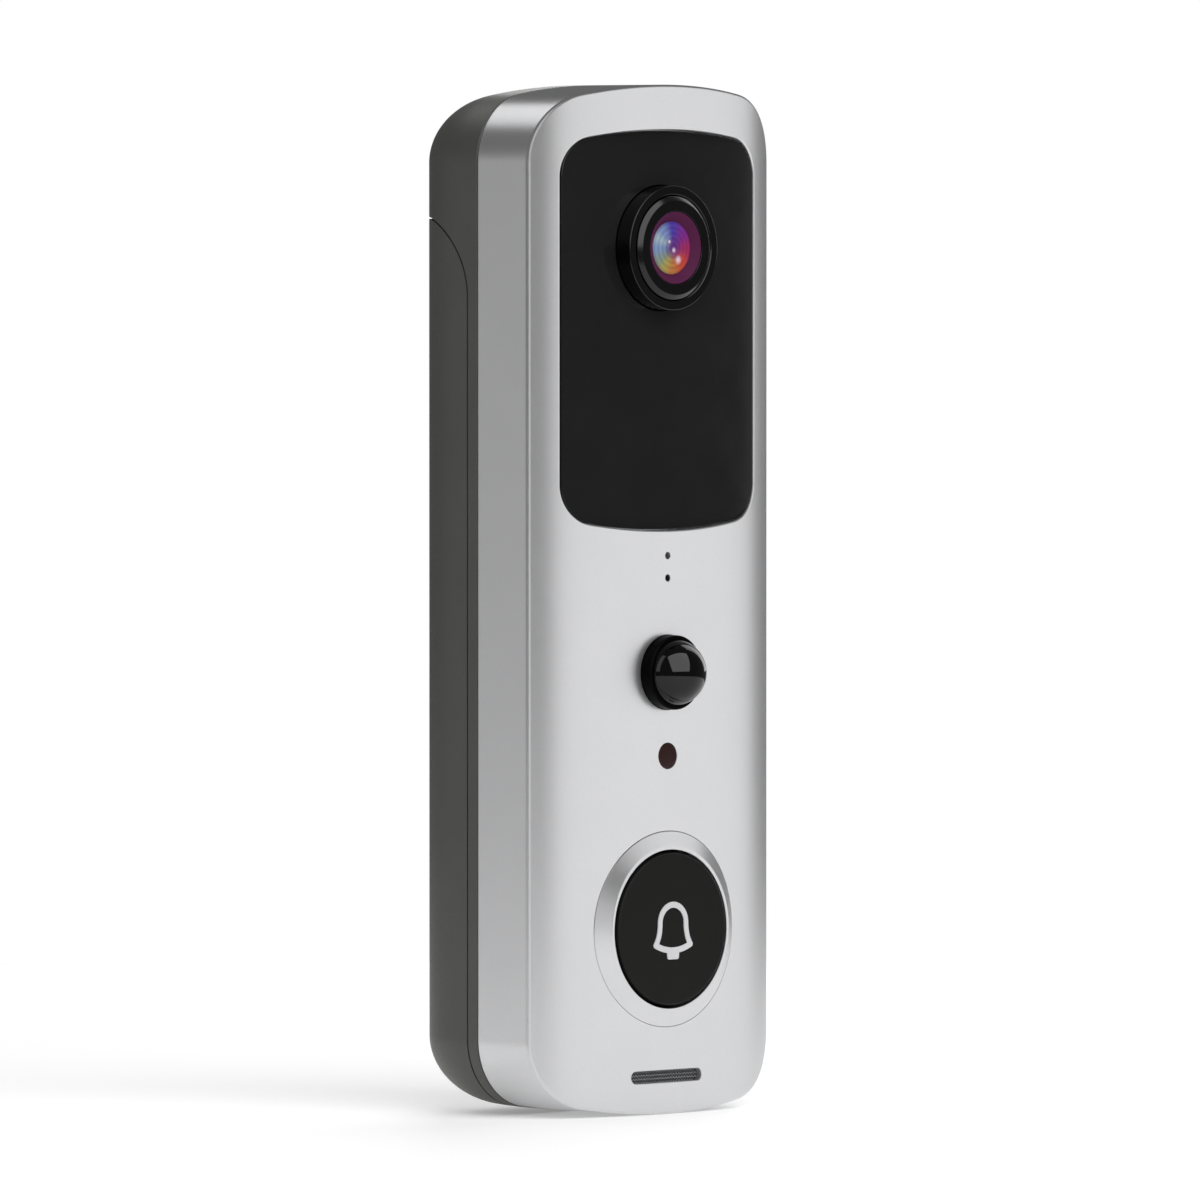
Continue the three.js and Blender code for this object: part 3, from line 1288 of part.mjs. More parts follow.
add("pir_lens", pirLens(), BLACK_GLOSS);
add("pir_sensor", pirSensor(), TINNED);
add("indicator_lens", indicatorLens(), RED_BROWN);
add("status_led", slab(STATUS_LED, 0, BOARD_Y - PART_GAP - STATUS_LED.thickness, INDICATOR_Z), LED_YELLOW);
add("charge_light_pipe", chargeLightPipe(), BLACK_MATTE);
add("microphone_gasket", microphoneGasket(), RUBBER);
add("microphone", slab(MICROPHONE, 0, BOARD_Y - PART_GAP - MICROPHONE.thickness, MIC_Z), TINNED);

add("button_bezel", buttonBezel(), SILVER);
add("button_cap", buttonCap(), BLACK_MATTE);
add("bell_symbol", bellSymbol(), SYMBOL_GREY);
add("button_switch", buttonSwitch(), CHIP_BLACK);
add("switch_plunger", switchPlunger(), CHIP_BLACK);

add("speaker_mesh", speakerMesh(), STEEL);
add("sound_duct", soundDuct(), RUBBER);
add("speaker_gasket", speakerGasket(), RUBBER);
add("speaker_frame", speakerFrame(), STEEL);
add("speaker_cone", speakerCone(), PAPER_CONE);
add("speaker_magnet", speakerMagnet(), STEEL);

add("main_board", mainBoard(), BOARD_GREEN);
const processorFront = BOARD_Y - PART_GAP - PROCESSOR.thickness;
const processorX = (RADIO_SHIELD.width + CHIP_GAP) / 2;
add("processor", slab(PROCESSOR, processorX, processorFront, TOP - CHIP_DROP), CHIP_BLACK);
const shieldFront = BOARD_Y - PART_GAP - RADIO_SHIELD.thickness;
const shieldX = -(PROCESSOR.width + CHIP_GAP) / 2;
add("radio_shield", slab(RADIO_SHIELD, shieldX, shieldFront, TOP - CHIP_DROP), TINNED);
const antennaFront = BOARD_Y - PART_GAP - ANTENNA.thickness;
const antennaZ = TOP - BOARD_TOP_DROP - ANTENNA_DROP - ANTENNA.height / 2;
add("wifi_antenna", slab(ANTENNA, ANTENNA_X, antennaFront, antennaZ), TINNED);

for (const [name, side] of [["left", -1], ["right", 1]]) {
  const x = (side * CELL_SPACING) / 2;
  add(`battery_${name}`, cell(x), CELL_WRAP);
  add(`battery_spring_${name}`, batterySpring(x), TINNED);
  add(`battery_contact_${name}`, contactPlate(x), TINNED);
}

add("camera_ribbon", cameraRibbon(), CELL_WRAP);
add("speaker_lead", speakerLead(), RUBBER);

add("service_board", slab(SERVICE_BOARD, 0, SERVICE_FRONT, SERVICE_Z), BOARD_GREEN);
add("usb_socket", usbSocket(), TINNED);
add("reset_switch", resetSwitch(), CHIP_BLACK);
add("reset_button", resetButton(), BLACK_MATTE);

let screwCount = 0;
for (const z of SCREW_ROWS) {
  for (const side of [-1, 1]) {
    screwCount += 1;
    add(`case_screw_${screwCount}`, caseScrew(side * SCREW_X, z), STEEL);
  }
}

export default doorbell;
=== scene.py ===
"""A battery video doorbell: silver front shell, black window with a camera, bell button, dark back.

Lengths are in millimetres here and become metres where a mesh is made. X is to the right as
seen from the front, Y points into the wall, Z is up, and the wall face is at Y = 0.
"""

import json
import math
from collections import namedtuple

import bmesh
import bpy
import numpy as np
from mathutils import Matrix, Vector

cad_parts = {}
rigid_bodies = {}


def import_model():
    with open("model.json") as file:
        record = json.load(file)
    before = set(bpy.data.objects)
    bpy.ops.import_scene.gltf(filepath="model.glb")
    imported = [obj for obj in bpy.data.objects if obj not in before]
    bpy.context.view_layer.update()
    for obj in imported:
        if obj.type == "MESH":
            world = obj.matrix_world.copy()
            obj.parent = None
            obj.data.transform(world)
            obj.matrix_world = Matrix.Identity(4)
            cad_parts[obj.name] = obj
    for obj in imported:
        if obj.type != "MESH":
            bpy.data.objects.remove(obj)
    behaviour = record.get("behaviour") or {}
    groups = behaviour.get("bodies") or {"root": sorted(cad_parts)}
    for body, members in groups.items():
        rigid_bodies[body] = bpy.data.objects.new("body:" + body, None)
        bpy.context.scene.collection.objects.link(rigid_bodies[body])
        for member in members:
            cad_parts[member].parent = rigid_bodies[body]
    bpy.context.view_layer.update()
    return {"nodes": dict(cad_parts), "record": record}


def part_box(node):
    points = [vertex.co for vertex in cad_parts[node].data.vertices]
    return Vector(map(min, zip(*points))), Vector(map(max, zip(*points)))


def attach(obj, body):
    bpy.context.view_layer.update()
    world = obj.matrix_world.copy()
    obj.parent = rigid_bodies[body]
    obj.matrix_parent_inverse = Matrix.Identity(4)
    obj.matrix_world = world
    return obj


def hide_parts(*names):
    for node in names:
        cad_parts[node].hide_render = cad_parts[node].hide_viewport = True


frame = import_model()

MM = 0.001
FAR = 100.0  # beyond every face, for cutting tools
QUARTER = math.pi / 2
ON_AXIS = 1e-9  # a smaller radius is a point on the axis

Span = namedtuple("Span", "low high mid")


def span(node):
    """Lowest corner, highest corner and middle of a CAD node, in millimetres."""
    low, high = (np.array(corner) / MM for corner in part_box(node))
    return Span(low, high, (low + high) / 2)


# ---- sizes

SHELL = span("front_shell")
COVER = span("rear_cover")
WINDOW = span("window_panel")
RING = span("lens_ring")
BARREL = span("lens_barrel")
GLASS = span("lens_glass")
PIR = span("pir_lens")
INDICATOR = span("indicator_lens")
PIPE = span("charge_light_pipe")
GASKET = span("microphone_gasket")
BEZEL = span("button_bezel")
CAP = span("button_cap")
PRINT = span("bell_symbol")
MESH = span("speaker_mesh")

# Outer form
HALF_WIDTH = SHELL.high[0]
TOP = SHELL.high[2]
BOTTOM = -TOP
FACE = SHELL.low[1]
SHELL_BACK = SHELL.high[1]
FRONT_BOW = 2.5  # rise of the front face spread over its whole width
FRONT_SHOULDER = 1.2  # rise gained close to the side edges
CREASE = FACE + FRONT_BOW + FRONT_SHOULDER
ARCH_RADIUS = 92.0
CORNER_RADIUS = 9.3
SEAM_GAP = 0.25
SEAM = COVER.low[1] - SEAM_GAP
SEAM_RADIUS = 10.8
BACK_ROUND_FROM_SEAM = 1.34
ROUND_START = SEAM + BACK_ROUND_FROM_SEAM
BACK_ROUND_INSET = 9.2
EDGE_FILLET = 0.42  # front edge of the shell
SEAM_FILLET = 0.22  # edges along the seams

# Walls and fits
FRONT_WALL = 2.0
SIDE_WALL = 1.8
COVER_WALL = 1.8
HEAD_SEAM_WALL = 1.5
BAY_WALL = 1.2
CHAMBER_WALL = 1.4
PART_GAP = 0.06
FIT_GAP = 0.15
SLIDE_GAP = 0.3

# Window
WINDOW_HALF_WIDTH = WINDOW.high[0]
WINDOW_HALF_HEIGHT = (WINDOW.high[2] - WINDOW.low[2]) / 2
WINDOW_MIDDLE = WINDOW.mid[2]
WINDOW_FRONT = WINDOW.low[1]
WINDOW_BACK = WINDOW.high[1]
WINDOW_ARCH = 91.0
WINDOW_CORNER = 5.2
WINDOW_FILLET = 0.12
RECESS_FILLET = 0.28
LEDGE_WIDTH = 1.9
LEDGE_THICKNESS = 1.1

# Camera
LENS_Z = RING.mid[2]
RING_FRONT = RING.low[1]
BARREL_FRONT = BARREL.low[1]
RING_BEVEL = 0.15
BARREL_LIP = BARREL.high[0]
RING_BORE = BARREL_LIP + 0.1
RING_MOUTH = RING_BORE + RING_BEVEL
RING_RADIUS = RING_MOUTH + 1.15
RING_FLANGE = RING.high[0]
BARREL_RADIUS = BARREL_LIP - 0.95
BARREL_CHAMFER = 0.65
GLASS_RADIUS = GLASS.high[0]

# Front face below the window
MIC_Z = GASKET.mid[2]
CHARGE_LIGHT_Z = PIPE.mid[2]
PINHOLE_RADIUS = 0.475
PINHOLE_LIP = 0.06
PIR_Z = PIR.mid[2]
PIR_RADIUS = 5.0
PIR_FLANGE = PIR.high[0]
PIR_JOINT = 0.05
PIR_COLLAR = {"height": 1.7, "ledge": 0.55, "fillet": 0.35}
INDICATOR_Z = INDICATOR.mid[2]
INDICATOR_RADIUS = INDICATOR.high[0]
HOLE_FILLET = 0.16

# Bell button
BUTTON_Z = CAP.mid[2]
CAP_FRONT = CAP.low[1]
CAP_FLANGE = CAP.high[0]
CAP_RADIUS = CAP_FLANGE - 1.0
BEZEL_RADIUS = BEZEL.high[0]
BEZEL_BORE = BEZEL_RADIUS - 2.5
BEZEL_RIM = BEZEL_BORE + 0.45
BEZEL_PROUD = 0.6
BEZEL_JOINT = 0.03  # the bezel is pressed in, so its joint line is thin
BEZEL_SEAT = 1.4
BEZEL_NECK = BEZEL_BORE + 0.65
BEZEL_BACK = BEZEL.high[1]
SYMBOL_STROKE = 0.8

# Speaker slot
SLOT_Z = MESH.mid[2]
SLOT_LENGTH = 13.3
SLOT_HEIGHT = 1.6
MESH_COVER = 1.0
WIRE_RADIUS = 0.075
WIRE_PITCH = 0.36

# Rear cover
COVER_TOP = COVER.high[2] - 2.7
TONGUE = {"half_width": 3.5, "thickness": 1.2, "root": 6.0, "wall_gap": 0.3}
WALL_HOLE_RADIUS = 2.1
WALL_HOLE_SPREAD = 52.0

# Facets of the fine meshes
CORNER_STEPS = 24
ARCH_STEPS = 56
ROUND_STEPS = 28
CIRCLE = 128
SMALL_CIRCLE = 48
FILLET_STEPS = 5


def face_y(x):
    """Depth of the front face: a bow across the whole width that steepens at the shoulders."""
    share = np.abs(x) / HALF_WIDTH
    return CREASE - FRONT_BOW * (1 - share**2) - FRONT_SHOULDER * (1 - share**6)


def face_slope(x):
    share = x / HALF_WIDTH
    return (2 * FRONT_BOW * share + 6 * FRONT_SHOULDER * share**5) / HALF_WIDTH


def window_y(x):
    """Depth of the window's surface: flush with the shell at its sides, sunk in the middle."""
    rise = face_y(WINDOW_HALF_WIDTH) - WINDOW_FRONT
    return WINDOW_FRONT + rise * (x / WINDOW_HALF_WIDTH) ** 2


def window_slope(x):
    rise = face_y(WINDOW_HALF_WIDTH) - WINDOW_FRONT
    return 2 * rise * x / WINDOW_HALF_WIDTH**2


# ---- outlines in X and Z


def arc(x, z, radius, start, end, steps):
    angles = np.linspace(start, end, steps + 1)
    return np.stack([x + radius * np.cos(angles), z + radius * np.sin(angles)], 1)


def arched_outline(half_width, half_height, arch, corner, middle=0.0):
    """Straight sides, arched ends and rounded corners. The lower half mirrors the upper half."""
    centre = half_height - arch
    corner_x = half_width - corner
    corner_z = centre + math.sqrt((arch - corner) ** 2 - corner_x**2)
    turn = math.atan2(corner_z - centre, corner_x)
    upper = np.concatenate(
        [
            arc(corner_x, corner_z, corner, 0, turn, CORNER_STEPS),
            arc(0, centre, arch, turn, math.pi - turn, ARCH_STEPS)[1:],
            arc(-corner_x, corner_z, corner, math.pi - turn, math.pi, CORNER_STEPS)[1:],
        ]
    )
    return np.concatenate([upper, -upper]) + [0, middle]


def body_outline(inset):
    corner = max(CORNER_RADIUS - inset, 0.9)
    return arched_outline(HALF_WIDTH - inset, TOP - inset, ARCH_RADIUS - inset, corner)


def window_outline(grow):
    return arched_outline(
        WINDOW_HALF_WIDTH + grow,
        WINDOW_HALF_HEIGHT + grow,
        WINDOW_ARCH + grow,
        WINDOW_CORNER + grow,
        WINDOW_MIDDLE,
    )


def circle_outline(radius, z, x=0.0, steps=CIRCLE):
    """A circle that starts at its right side and whose lower half mirrors the upper half."""
    upper = arc(0, 0, radius, 0, math.pi, steps // 2)
    return np.concatenate([upper, -upper[1:-1]]) + [x, z]


def stadium_outline(length, height, z):
    reach = (length - height) / 2
    right = arc(reach, z, height / 2, -QUARTER, QUARTER, SMALL_CIRCLE // 2)
    left = arc(-reach, z, height / 2, QUARTER, 3 * QUARTER, SMALL_CIRCLE // 2)
    return np.concatenate([right, left])


def at_depth(outline, depth):
    """An outline as a ring of points, at one depth or at a depth for each point."""
    depths = np.broadcast_to(depth, len(outline))
    return np.stack([outline[:, 0], depths, outline[:, 1]], 1)


# ---- solids


def add_object(name, data):
    obj = bpy.data.objects.new(name, data)
    bpy.context.scene.collection.objects.link(obj)
    return obj


def mesh_object(points, faces):
    """A mesh object in metres from points in millimetres, with its faces turned outward."""
    mesh = bpy.data.meshes.new("form")
    mesh.from_pydata((np.asarray(points) * MM).tolist(), [], [list(face) for face in faces])
    made = bmesh.new()
    made.from_mesh(mesh)
    bmesh.ops.remove_doubles(made, verts=made.verts, dist=1e-7)
    bmesh.ops.recalc_face_normals(made, faces=made.faces)
    made.to_mesh(mesh)
    made.free()
    return add_object("form", mesh)


def bands(levels, count, start=0, closed=False):
    """Quads between rings of count points, and from the last ring to the first if closed."""
    quads = []
    for level in range(levels if closed else levels - 1):
        a, b = start + level * count, start + (level + 1) % levels * count
        for i in range(count):
            j = (i + 1) % count
            quads.append([a + i, a + j, b + j, b + i])
    return quads


def fan(points, faces, ring):
    """Closes a ring round a point in its middle."""
    middle = len(points)
    points.append(np.mean([points[i] for i in ring], 0))
    count = len(ring)
    faces.extend([ring[i], ring[(i + 1) % count], middle] for i in range(count))


def loft(rings, strips=False):
    """A closed skin over rings of equal count. Strips across the first ring keep a bowed face."""
    count = len(rings[0])
    points = [point for ring in rings for point in ring]
    faces = bands(len(rings), count)
    if strips:
        for i in range(count // 2 - 1):
            faces.append([i, i + 1, count - 2 - i, count - 1 - i])
    else:
        fan(points, faces, range(count))
    last = (len(rings) - 1) * count
    fan(points, faces, range(last, last + count))
    return mesh_object(points, faces)


def prism(outline, front, back):
    return loft([at_depth(outline, front), at_depth(outline, back)])


def rod(radius, front, back, x, z, steps=SMALL_CIRCLE):
    return prism(circle_outline(radius, z, x, steps), front, back)


def block(x0, x1, y0, y1, z0, z1):
    corners = [[x, y, z] for x in (x0, x1) for y in (y0, y1) for z in (z0, z1)]
    faces = [[0, 1, 3, 2], [4, 6, 7, 5], [0, 4, 5, 1], [2, 3, 7, 6], [0, 2, 6, 4], [1, 5, 7, 3]]
    return mesh_object(corners, faces)


def turned(profile, centre, axis="Y", steps=CIRCLE):
    """A piece turned round an axis. The profile lists [radius, place along the axis]."""
    angles = np.linspace(0, 2 * math.pi, steps, endpoint=False)
    points, starts = [], []
    for radius, along in profile:
        starts.append(len(points))
        for angle in angles[: 1 if radius < ON_AXIS else steps]:
            across = centre[0] + radius * math.cos(angle)
            up = centre[1] + radius * math.sin(angle)
            points.append([across, along, up] if axis == "Y" else [across, up, along])

    def edge(level, *places):
        on_axis = profile[level][0] < ON_AXIS
        return [starts[level]] if on_axis else [starts[level] + place for place in places]

    order = list(range(len(profile)))
    if profile[0][0] > ON_AXIS:
        order.append(0)
    faces = []
    for a, b in zip(order, order[1:]):
        for i in range(steps):
            j = (i + 1) % steps
            face = edge(a, i, j) + edge(b, j, i)
            if len(face) > 2:
                faces.append(face)
    return mesh_object(points, faces)


def pin_profile(radius, low, high):
    return [[0, low], [radius, low], [radius, high], [0, high]]


def rounded(profile, radius, steps=FILLET_STEPS):
    """A profile with the corners between its ends replaced by arcs."""
    made = [profile[0]]
    for before, corner, after in zip(profile, profile[1:], profile[2:]):
        p, q, r = (np.array(v, float) for v in (before, corner, after))
        back, on = p - q, r - q
        room = min(np.linalg.norm(back), np.linalg.norm(on)) * 0.48
        back, on = back / np.linalg.norm(back), on / np.linalg.norm(on)
        size = min(radius, room)
        start, end = q + back * size, q + on * size
        for share in np.linspace(0, 1, steps + 1):
            bezier = start * (1 - share) ** 2 + 2 * q * share * (1 - share) + end * share**2
            made.append(bezier.tolist())
    made.append(profile[-1])
    return made


def bake(obj):
    """Applies an object's modifiers to its mesh."""
    bpy.context.view_layer.update()
    graph = bpy.context.evaluated_depsgraph_get()
    mesh = bpy.data.meshes.new_from_object(obj.evaluated_get(graph), depsgraph=graph)
    obj.modifiers.clear()
    obj.data = mesh


def combine(base, tools, operation):
    """Joins the tools to a solid, or cuts them from it, and removes them."""
    for tool in tools:
        boolean = base.modifiers.new("boolean", "BOOLEAN")
        boolean.solver = "MANIFOLD"
        boolean.operation = operation
        boolean.object = tool
    bake(base)
    for tool in tools:
        bpy.data.objects.remove(tool)
    return base


def cut(base, *tools):
    return combine(base, tools, "DIFFERENCE")


def join(base, *tools):
    return combine(base, tools, "UNION")


def rounded_edge(outline_at, surface, size, steps=FILLET_STEPS):
    """Rings round a front edge: outline_at gives the outline at an inset, surface its depth."""
    rings = []
    for angle in np.linspace(QUARTER, 0, steps):
        outline = outline_at(size * (1 - math.cos(angle)))
        rings.append(at_depth(outline, surface(outline[:, 0]) + size * (1 - math.sin(angle))))
    return rings


def mouth(outline_at, surface, lip, depth):
    """A cutting tool for a hole through a curved face, with a rounded lip that follows it."""
    rings = [at_depth(outline_at(lip), -FAR)]
    for angle in np.linspace(0, QUARTER, FILLET_STEPS + 1):
        outline = outline_at(lip * (1 - math.sin(angle)))
        rings.append(at_depth(outline, surface(outline[:, 0]) + lip * (1 - math.cos(angle))))
    rings.append(at_depth(outline_at(0), depth))
    return loft(rings)


# ---- finishing


def true_normals(obj, depth, slope):
    """Exact normals on the front faces that lie on a surface with a formula."""
    mesh = obj.data
    normals = np.zeros(len(mesh.loops) * 3, np.float32)
    mesh.corner_normals.foreach_get("vector", normals)
    normals = normals.reshape(-1, 3)
    places = np.zeros(len(mesh.vertices) * 3, np.float32)
    mesh.vertices.foreach_get("co", places)
    places = places.reshape(-1, 3) / MM
    for polygon in mesh.polygons:
        corners = places[list(polygon.vertices)]
        off = np.abs(corners[:, 1] - depth(corners[:, 0])).max()
        if off > 2e-3 or polygon.normal[1] > -0.5:
            continue
        tilt = slope(corners[:, 0])
        true = np.stack([tilt, -np.ones(len(tilt)), np.zeros(len(tilt))], 1)
        true /= np.linalg.norm(true, axis=1)[:, None]
        normals[list(polygon.loop_indices)] = true
    mesh.normals_split_custom_set(normals.tolist())


def smooth_shading(obj, angle):
    """Smooth faces, with edges sharper than the angle kept sharp."""
    obj.data.shade_smooth()
    obj.data.set_sharp_from_angle(angle=math.radians(angle))
    weighted = obj.modifiers.new("weighted normals", "WEIGHTED_NORMAL")
    weighted.keep_sharp = True
    weighted.weight = 50
    bake(obj)


def soften(obj, width):
    """Small rounded edges on a piece with plain faces."""
    bevel = obj.modifiers.new("soft edges", "BEVEL")
    bevel.width = width * MM
    bevel.segments = 2
    bevel.limit_method = "ANGLE"
    bevel.angle_limit = math.radians(35)
    bake(obj)


def finished(obj, node, material, angle=32, surface=None, body="doorbell_body", look=None):
    """Shades and names a piece, gives it its look and lets it stand for its CAD node."""
    smooth_shading(obj, angle)
    if surface:
        true_normals(obj, *surface)
    obj.name = obj.data.name = f"{node}_fine"
    obj.data.materials.clear()
    obj.data.materials.append(MATERIALS[look or material])
    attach(obj, body)
    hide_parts(node)
    return obj


def second_look(obj, look, chosen):
    """Gives a second look to the faces whose middle, in millimetres, is chosen."""
    obj.data.materials.append(MATERIALS[look])
    for polygon in obj.data.polygons:
        if chosen(*(polygon.center / MM)):
            polygon.material_index = 1


# ---- materials


class Finish:
    """A procedural material: one Principled shader with helpers that add nodes to it."""

    def __init__(self, name, colour, roughness, **inputs):
        self.material = bpy.data.materials.new(name)
        self.material.use_nodes = True
        self.tree = self.material.node_tree
        self.shader = self.tree.nodes["Principled BSDF"]
        self.colour = colour
        self.roughness = roughness
        inputs.update(Base_Color=(*colour, 1.0), Roughness=roughness)
        for key, value in inputs.items():
            self.shader.inputs[key.replace("_", " ")].default_value = value
        self.place = self.node("ShaderNodeTexCoord").outputs["Object"]

    def link(self, source, socket):
        self.tree.links.new(source, self.shader.inputs[socket])

    def node(self, kind, inputs=None, **settings):
        made = self.tree.nodes.new(kind)
        for key, value in settings.items():
            setattr(made, key, value)
        for key, value in (inputs or {}).items():
            if isinstance(value, bpy.types.NodeSocket):
                self.tree.links.new(value, made.inputs[key])
            else:
                made.inputs[key].default_value = value
        return made

    def math(self, operation, first, second=0.0, third=0.0):
        inputs = {0: first, 1: second, 2: third}
        return self.node("ShaderNodeMath", inputs, operation=operation).outputs[0]

    def vector(self, operation, first, second=(0, 0, 0), scale=1.0, output="Vector"):
        """A vector operation. Socket 3 of its node is the scale."""
        inputs = {0: first, 1: second, 3: scale}
        return self.node("ShaderNodeVectorMath", inputs, operation=operation).outputs[output]

    def mapped(self, value, start, end, low=0.0, high=1.0, kind="LINEAR"):
        """Takes a value from start..end to low..high."""
        inputs = {"Value": value, "From Min": start, "From Max": end, "To Min": low, "To Max": high}
        return self.node("ShaderNodeMapRange", inputs, interpolation_type=kind).outputs[0]

    def mix(self, factor, first, second):
        """A mix of two colours. In a colour mix node they are sockets 6 and 7, and output 2."""
        return self.node("ShaderNodeMix", {0: factor, 6: first, 7: second}, data_type="RGBA").outputs[2]

    def ramp(self, value, stops):
        ramp = self.node("ShaderNodeValToRGB", {"Fac": value})
        ramp.color_ramp.interpolation = "EASE"
        while len(ramp.color_ramp.elements) < len(stops):
            ramp.color_ramp.elements.new(0.5)
        for element, (stop, colour) in zip(ramp.color_ramp.elements, stops):
            element.position = stop
            element.color = (*colour, 1.0)
        return ramp.outputs["Color"]

    def noise(self, size, detail=3.0, place=None):
        """Noise whose features are about size millimetres across."""
        place = place or self.place
        inputs = {"Vector": place, "Scale": 1 / (size * MM), "Detail": detail, "Roughness": 0.55}
        return self.node("ShaderNodeTexNoise", inputs).outputs["Fac"]

    def spread(self, value, low, high):
        """Takes noise, which mostly lies in 0.3..0.7, to low..high."""
        return self.mapped(value, 0.3, 0.7, low, high)

    def tone(self, value, low, high):
        """Multiplies the base colour by low..high as the value goes up."""
        factor = self.spread(value, low, high)
        self.link(self.vector("SCALE", self.colour, scale=factor), "Base Color")

    def rough(self, value, swing):
        self.link(self.spread(value, self.roughness - swing, self.roughness + swing), "Roughness")

    def bump(self, height, depth, strength):
        """Bump whose relief is depth millimetres."""
        inputs = {"Height": height, "Distance": depth * MM, "Strength": strength}
        self.link(self.node("ShaderNodeBump", inputs).outputs[0], "Normal")


def silver_paint():
    """Satin metallic paint: fine bright flakes in a soft grain."""
    finish = Finish("silver_paint", (0.658, 0.66, 0.669), 0.31, Metallic=0.8)
    flake = finish.noise(0.16, 2.0)
    cloud = finish.math("MULTIPLY", finish.noise(9.0, 2.0), 0.25)
    finish.tone(finish.math("ADD", finish.math("MULTIPLY", flake, 0.75), cloud), 0.965, 1.035)
    finish.rough(flake, 0.03)
    finish.bump(flake, 0.004, 0.35)
    return finish.material


def moulded_plastic(name, colour, roughness, grain=0.35, relief=0.012):
    """Moulded plastic with a fine spark-eroded texture and slight unevenness."""
    finish = Finish(name, colour, roughness)
    fine = finish.noise(grain, 4.0)
    finish.tone(finish.noise(14.0), 0.93, 1.07)
    finish.rough(fine, 0.06)
    finish.bump(fine, relief, 0.6)
    return finish.material


def polished_plastic(name, colour, roughness):
    """Polished plastic with faint handling marks that only show in the gloss."""
    finish = Finish(name, colour, roughness)
    marks = finish.noise(6.0, 5.0)
    finish.tone(marks, 0.92, 1.08)
    finish.rough(marks, 0.02)
    return finish.material


IRIS_RADIUS = 3.55
HEART_RADIUS = IRIS_RADIUS * 0.62  # the violet heart has faded into the painted coating reflection here
RIPPLE_PITCH = 0.72
LENS_VIOLET = (0.075, 0.014, 0.05)
# Painted highlights: pale round glints on the lens
LENS_GLINTS = [(-0.75, 0.85, 0.36), (0.1, -0.3, 0.5), (1.0, -1.6, 0.8)]  # x, z and radius

# Painted reflection: the colours that the lens's coating reflects round its iris, as shares of a turn
# that starts at the left
REFLECTED_COATING_COLOURS = [
    (0.00, (0.20, 0.30, 0.50)),
    (0.10, (0.24, 0.30, 0.24)),
    (0.16, (0.40, 0.34, 0.10)),
    (0.25, (0.52, 0.20, 0.06)),
    (0.36, (0.60, 0.08, 0.05)),
    (0.50, (0.36, 0.03, 0.13)),
    (0.62, (0.20, 0.03, 0.26)),
    (0.75, (0.08, 0.05, 0.36)),
    (0.86, (0.20, 0.27, 0.50)),
    (0.93, (0.34, 0.44, 0.52)),
    (1.00, (0.20, 0.30, 0.50)),
]


def coated_glass():
    """Camera lens: a violet rim round an iris painted with the reflections of its coating, which turn
    from blue to red to yellow, and with painted highlights.
    """
    finish = Finish("coated_glass", (0.1, 0.03, 0.09), 0.1, Coat_Weight=0.12, Coat_Roughness=0.03)
    flat = finish.vector("MULTIPLY", finish.place, (1, 0, 1))
    place = finish.vector("SUBTRACT", flat, (0.0, 0.0, LENS_Z * MM))
    parts = finish.node("ShaderNodeSeparateXYZ", {0: place}).outputs
    radius = finish.math("DIVIDE", finish.vector("LENGTH", place, output="Value"), MM)
    angle = finish.math("ARCTAN2", parts["Z"], parts["X"])
    turn = finish.math("MULTIPLY_ADD", angle, 1 / (2 * math.pi), 0.5)
    heart = finish.mapped(radius, 0.2, HEART_RADIUS, kind="SMOOTHSTEP")
    iris = finish.mix(heart, (0.13, 0.04, 0.22, 1.0), finish.ramp(turn, REFLECTED_COATING_COLOURS))
    # Painted reflection: the iris turns lighter and darker in rings
    ripple = finish.math("SINE", finish.math("MULTIPLY", radius, 2 * math.pi / RIPPLE_PITCH))
    iris = finish.vector("SCALE", iris, scale=finish.math("MULTIPLY_ADD", ripple, 0.09, 0.72))
    # Painted highlights: pale glints mixed into the iris
    for x, z, size in LENS_GLINTS:
        distance = finish.vector("DISTANCE", place, (x * MM, 0.0, z * MM), output="Value")
        glint = finish.mapped(distance, 0.0, size * MM, 1.0, 0.0, "SMOOTHSTEP")
        iris = finish.mix(glint, iris, (0.62, 0.48, 0.58, 1.0))
    rim = finish.mapped(radius, IRIS_RADIUS - 0.12, IRIS_RADIUS + 0.1, kind="SMOOTHSTEP")
    finish.link(finish.mix(rim, iris, (*LENS_VIOLET, 1.0)), "Base Color")
    return finish.material


def woven_metal():
    finish = Finish("woven_mesh", (0.20, 0.20, 0.205), 0.34, Metallic=0.8)
    grain = finish.noise(0.08, 2.0)
    finish.tone(grain, 0.8, 1.2)
    finish.rough(grain, 0.08)
    return finish.material


def circuit_board():
    """Green solder mask over a grid of copper tracks, with silvery specks of solder."""
    finish = Finish("circuit_board", (0.015, 0.10, 0.035), 0.38)
    upright = finish.node("ShaderNodeMapping", {"Vector": finish.place, "Rotation": (QUARTER, 0, 0)})
    inputs = {
        "Vector": upright.outputs[0],
        "Scale": 1 / (4.2 * MM),
        "Mortar Size": 0.045,
        "Brick Width": 0.7,
        "Row Height": 0.22,
        "Color1": (0.012, 0.085, 0.03, 1),
        "Color2": (0.016, 0.11, 0.04, 1),
        "Mortar": (0.05, 0.21, 0.08, 1),
    }
    tracks = finish.node("ShaderNodeTexBrick", inputs).outputs
    cells = finish.node("ShaderNodeTexVoronoi", {"Vector": finish.place, "Scale": 1 / (2.3 * MM)})
    solder = finish.mapped(cells.outputs["Distance"], 0.16, 0.12)
    finish.link(finish.mix(solder, tracks["Color"], (0.55, 0.56, 0.54, 1.0)), "Base Color")
    finish.bump(tracks["Fac"], 0.03, 0.6)
    return finish.material


def metal(name, colour, roughness):
    """Bare metal with fine drawn lines and slight tarnish."""
    finish = Finish(name, colour, roughness, Metallic=1.0)
    scratch = finish.noise(0.12, 2.0)
    finish.tone(finish.noise(3.0, 4.0), 0.9, 1.08)
    finish.rough(scratch, 0.07)
    finish.bump(scratch, 0.004, 0.5)
    return finish.material


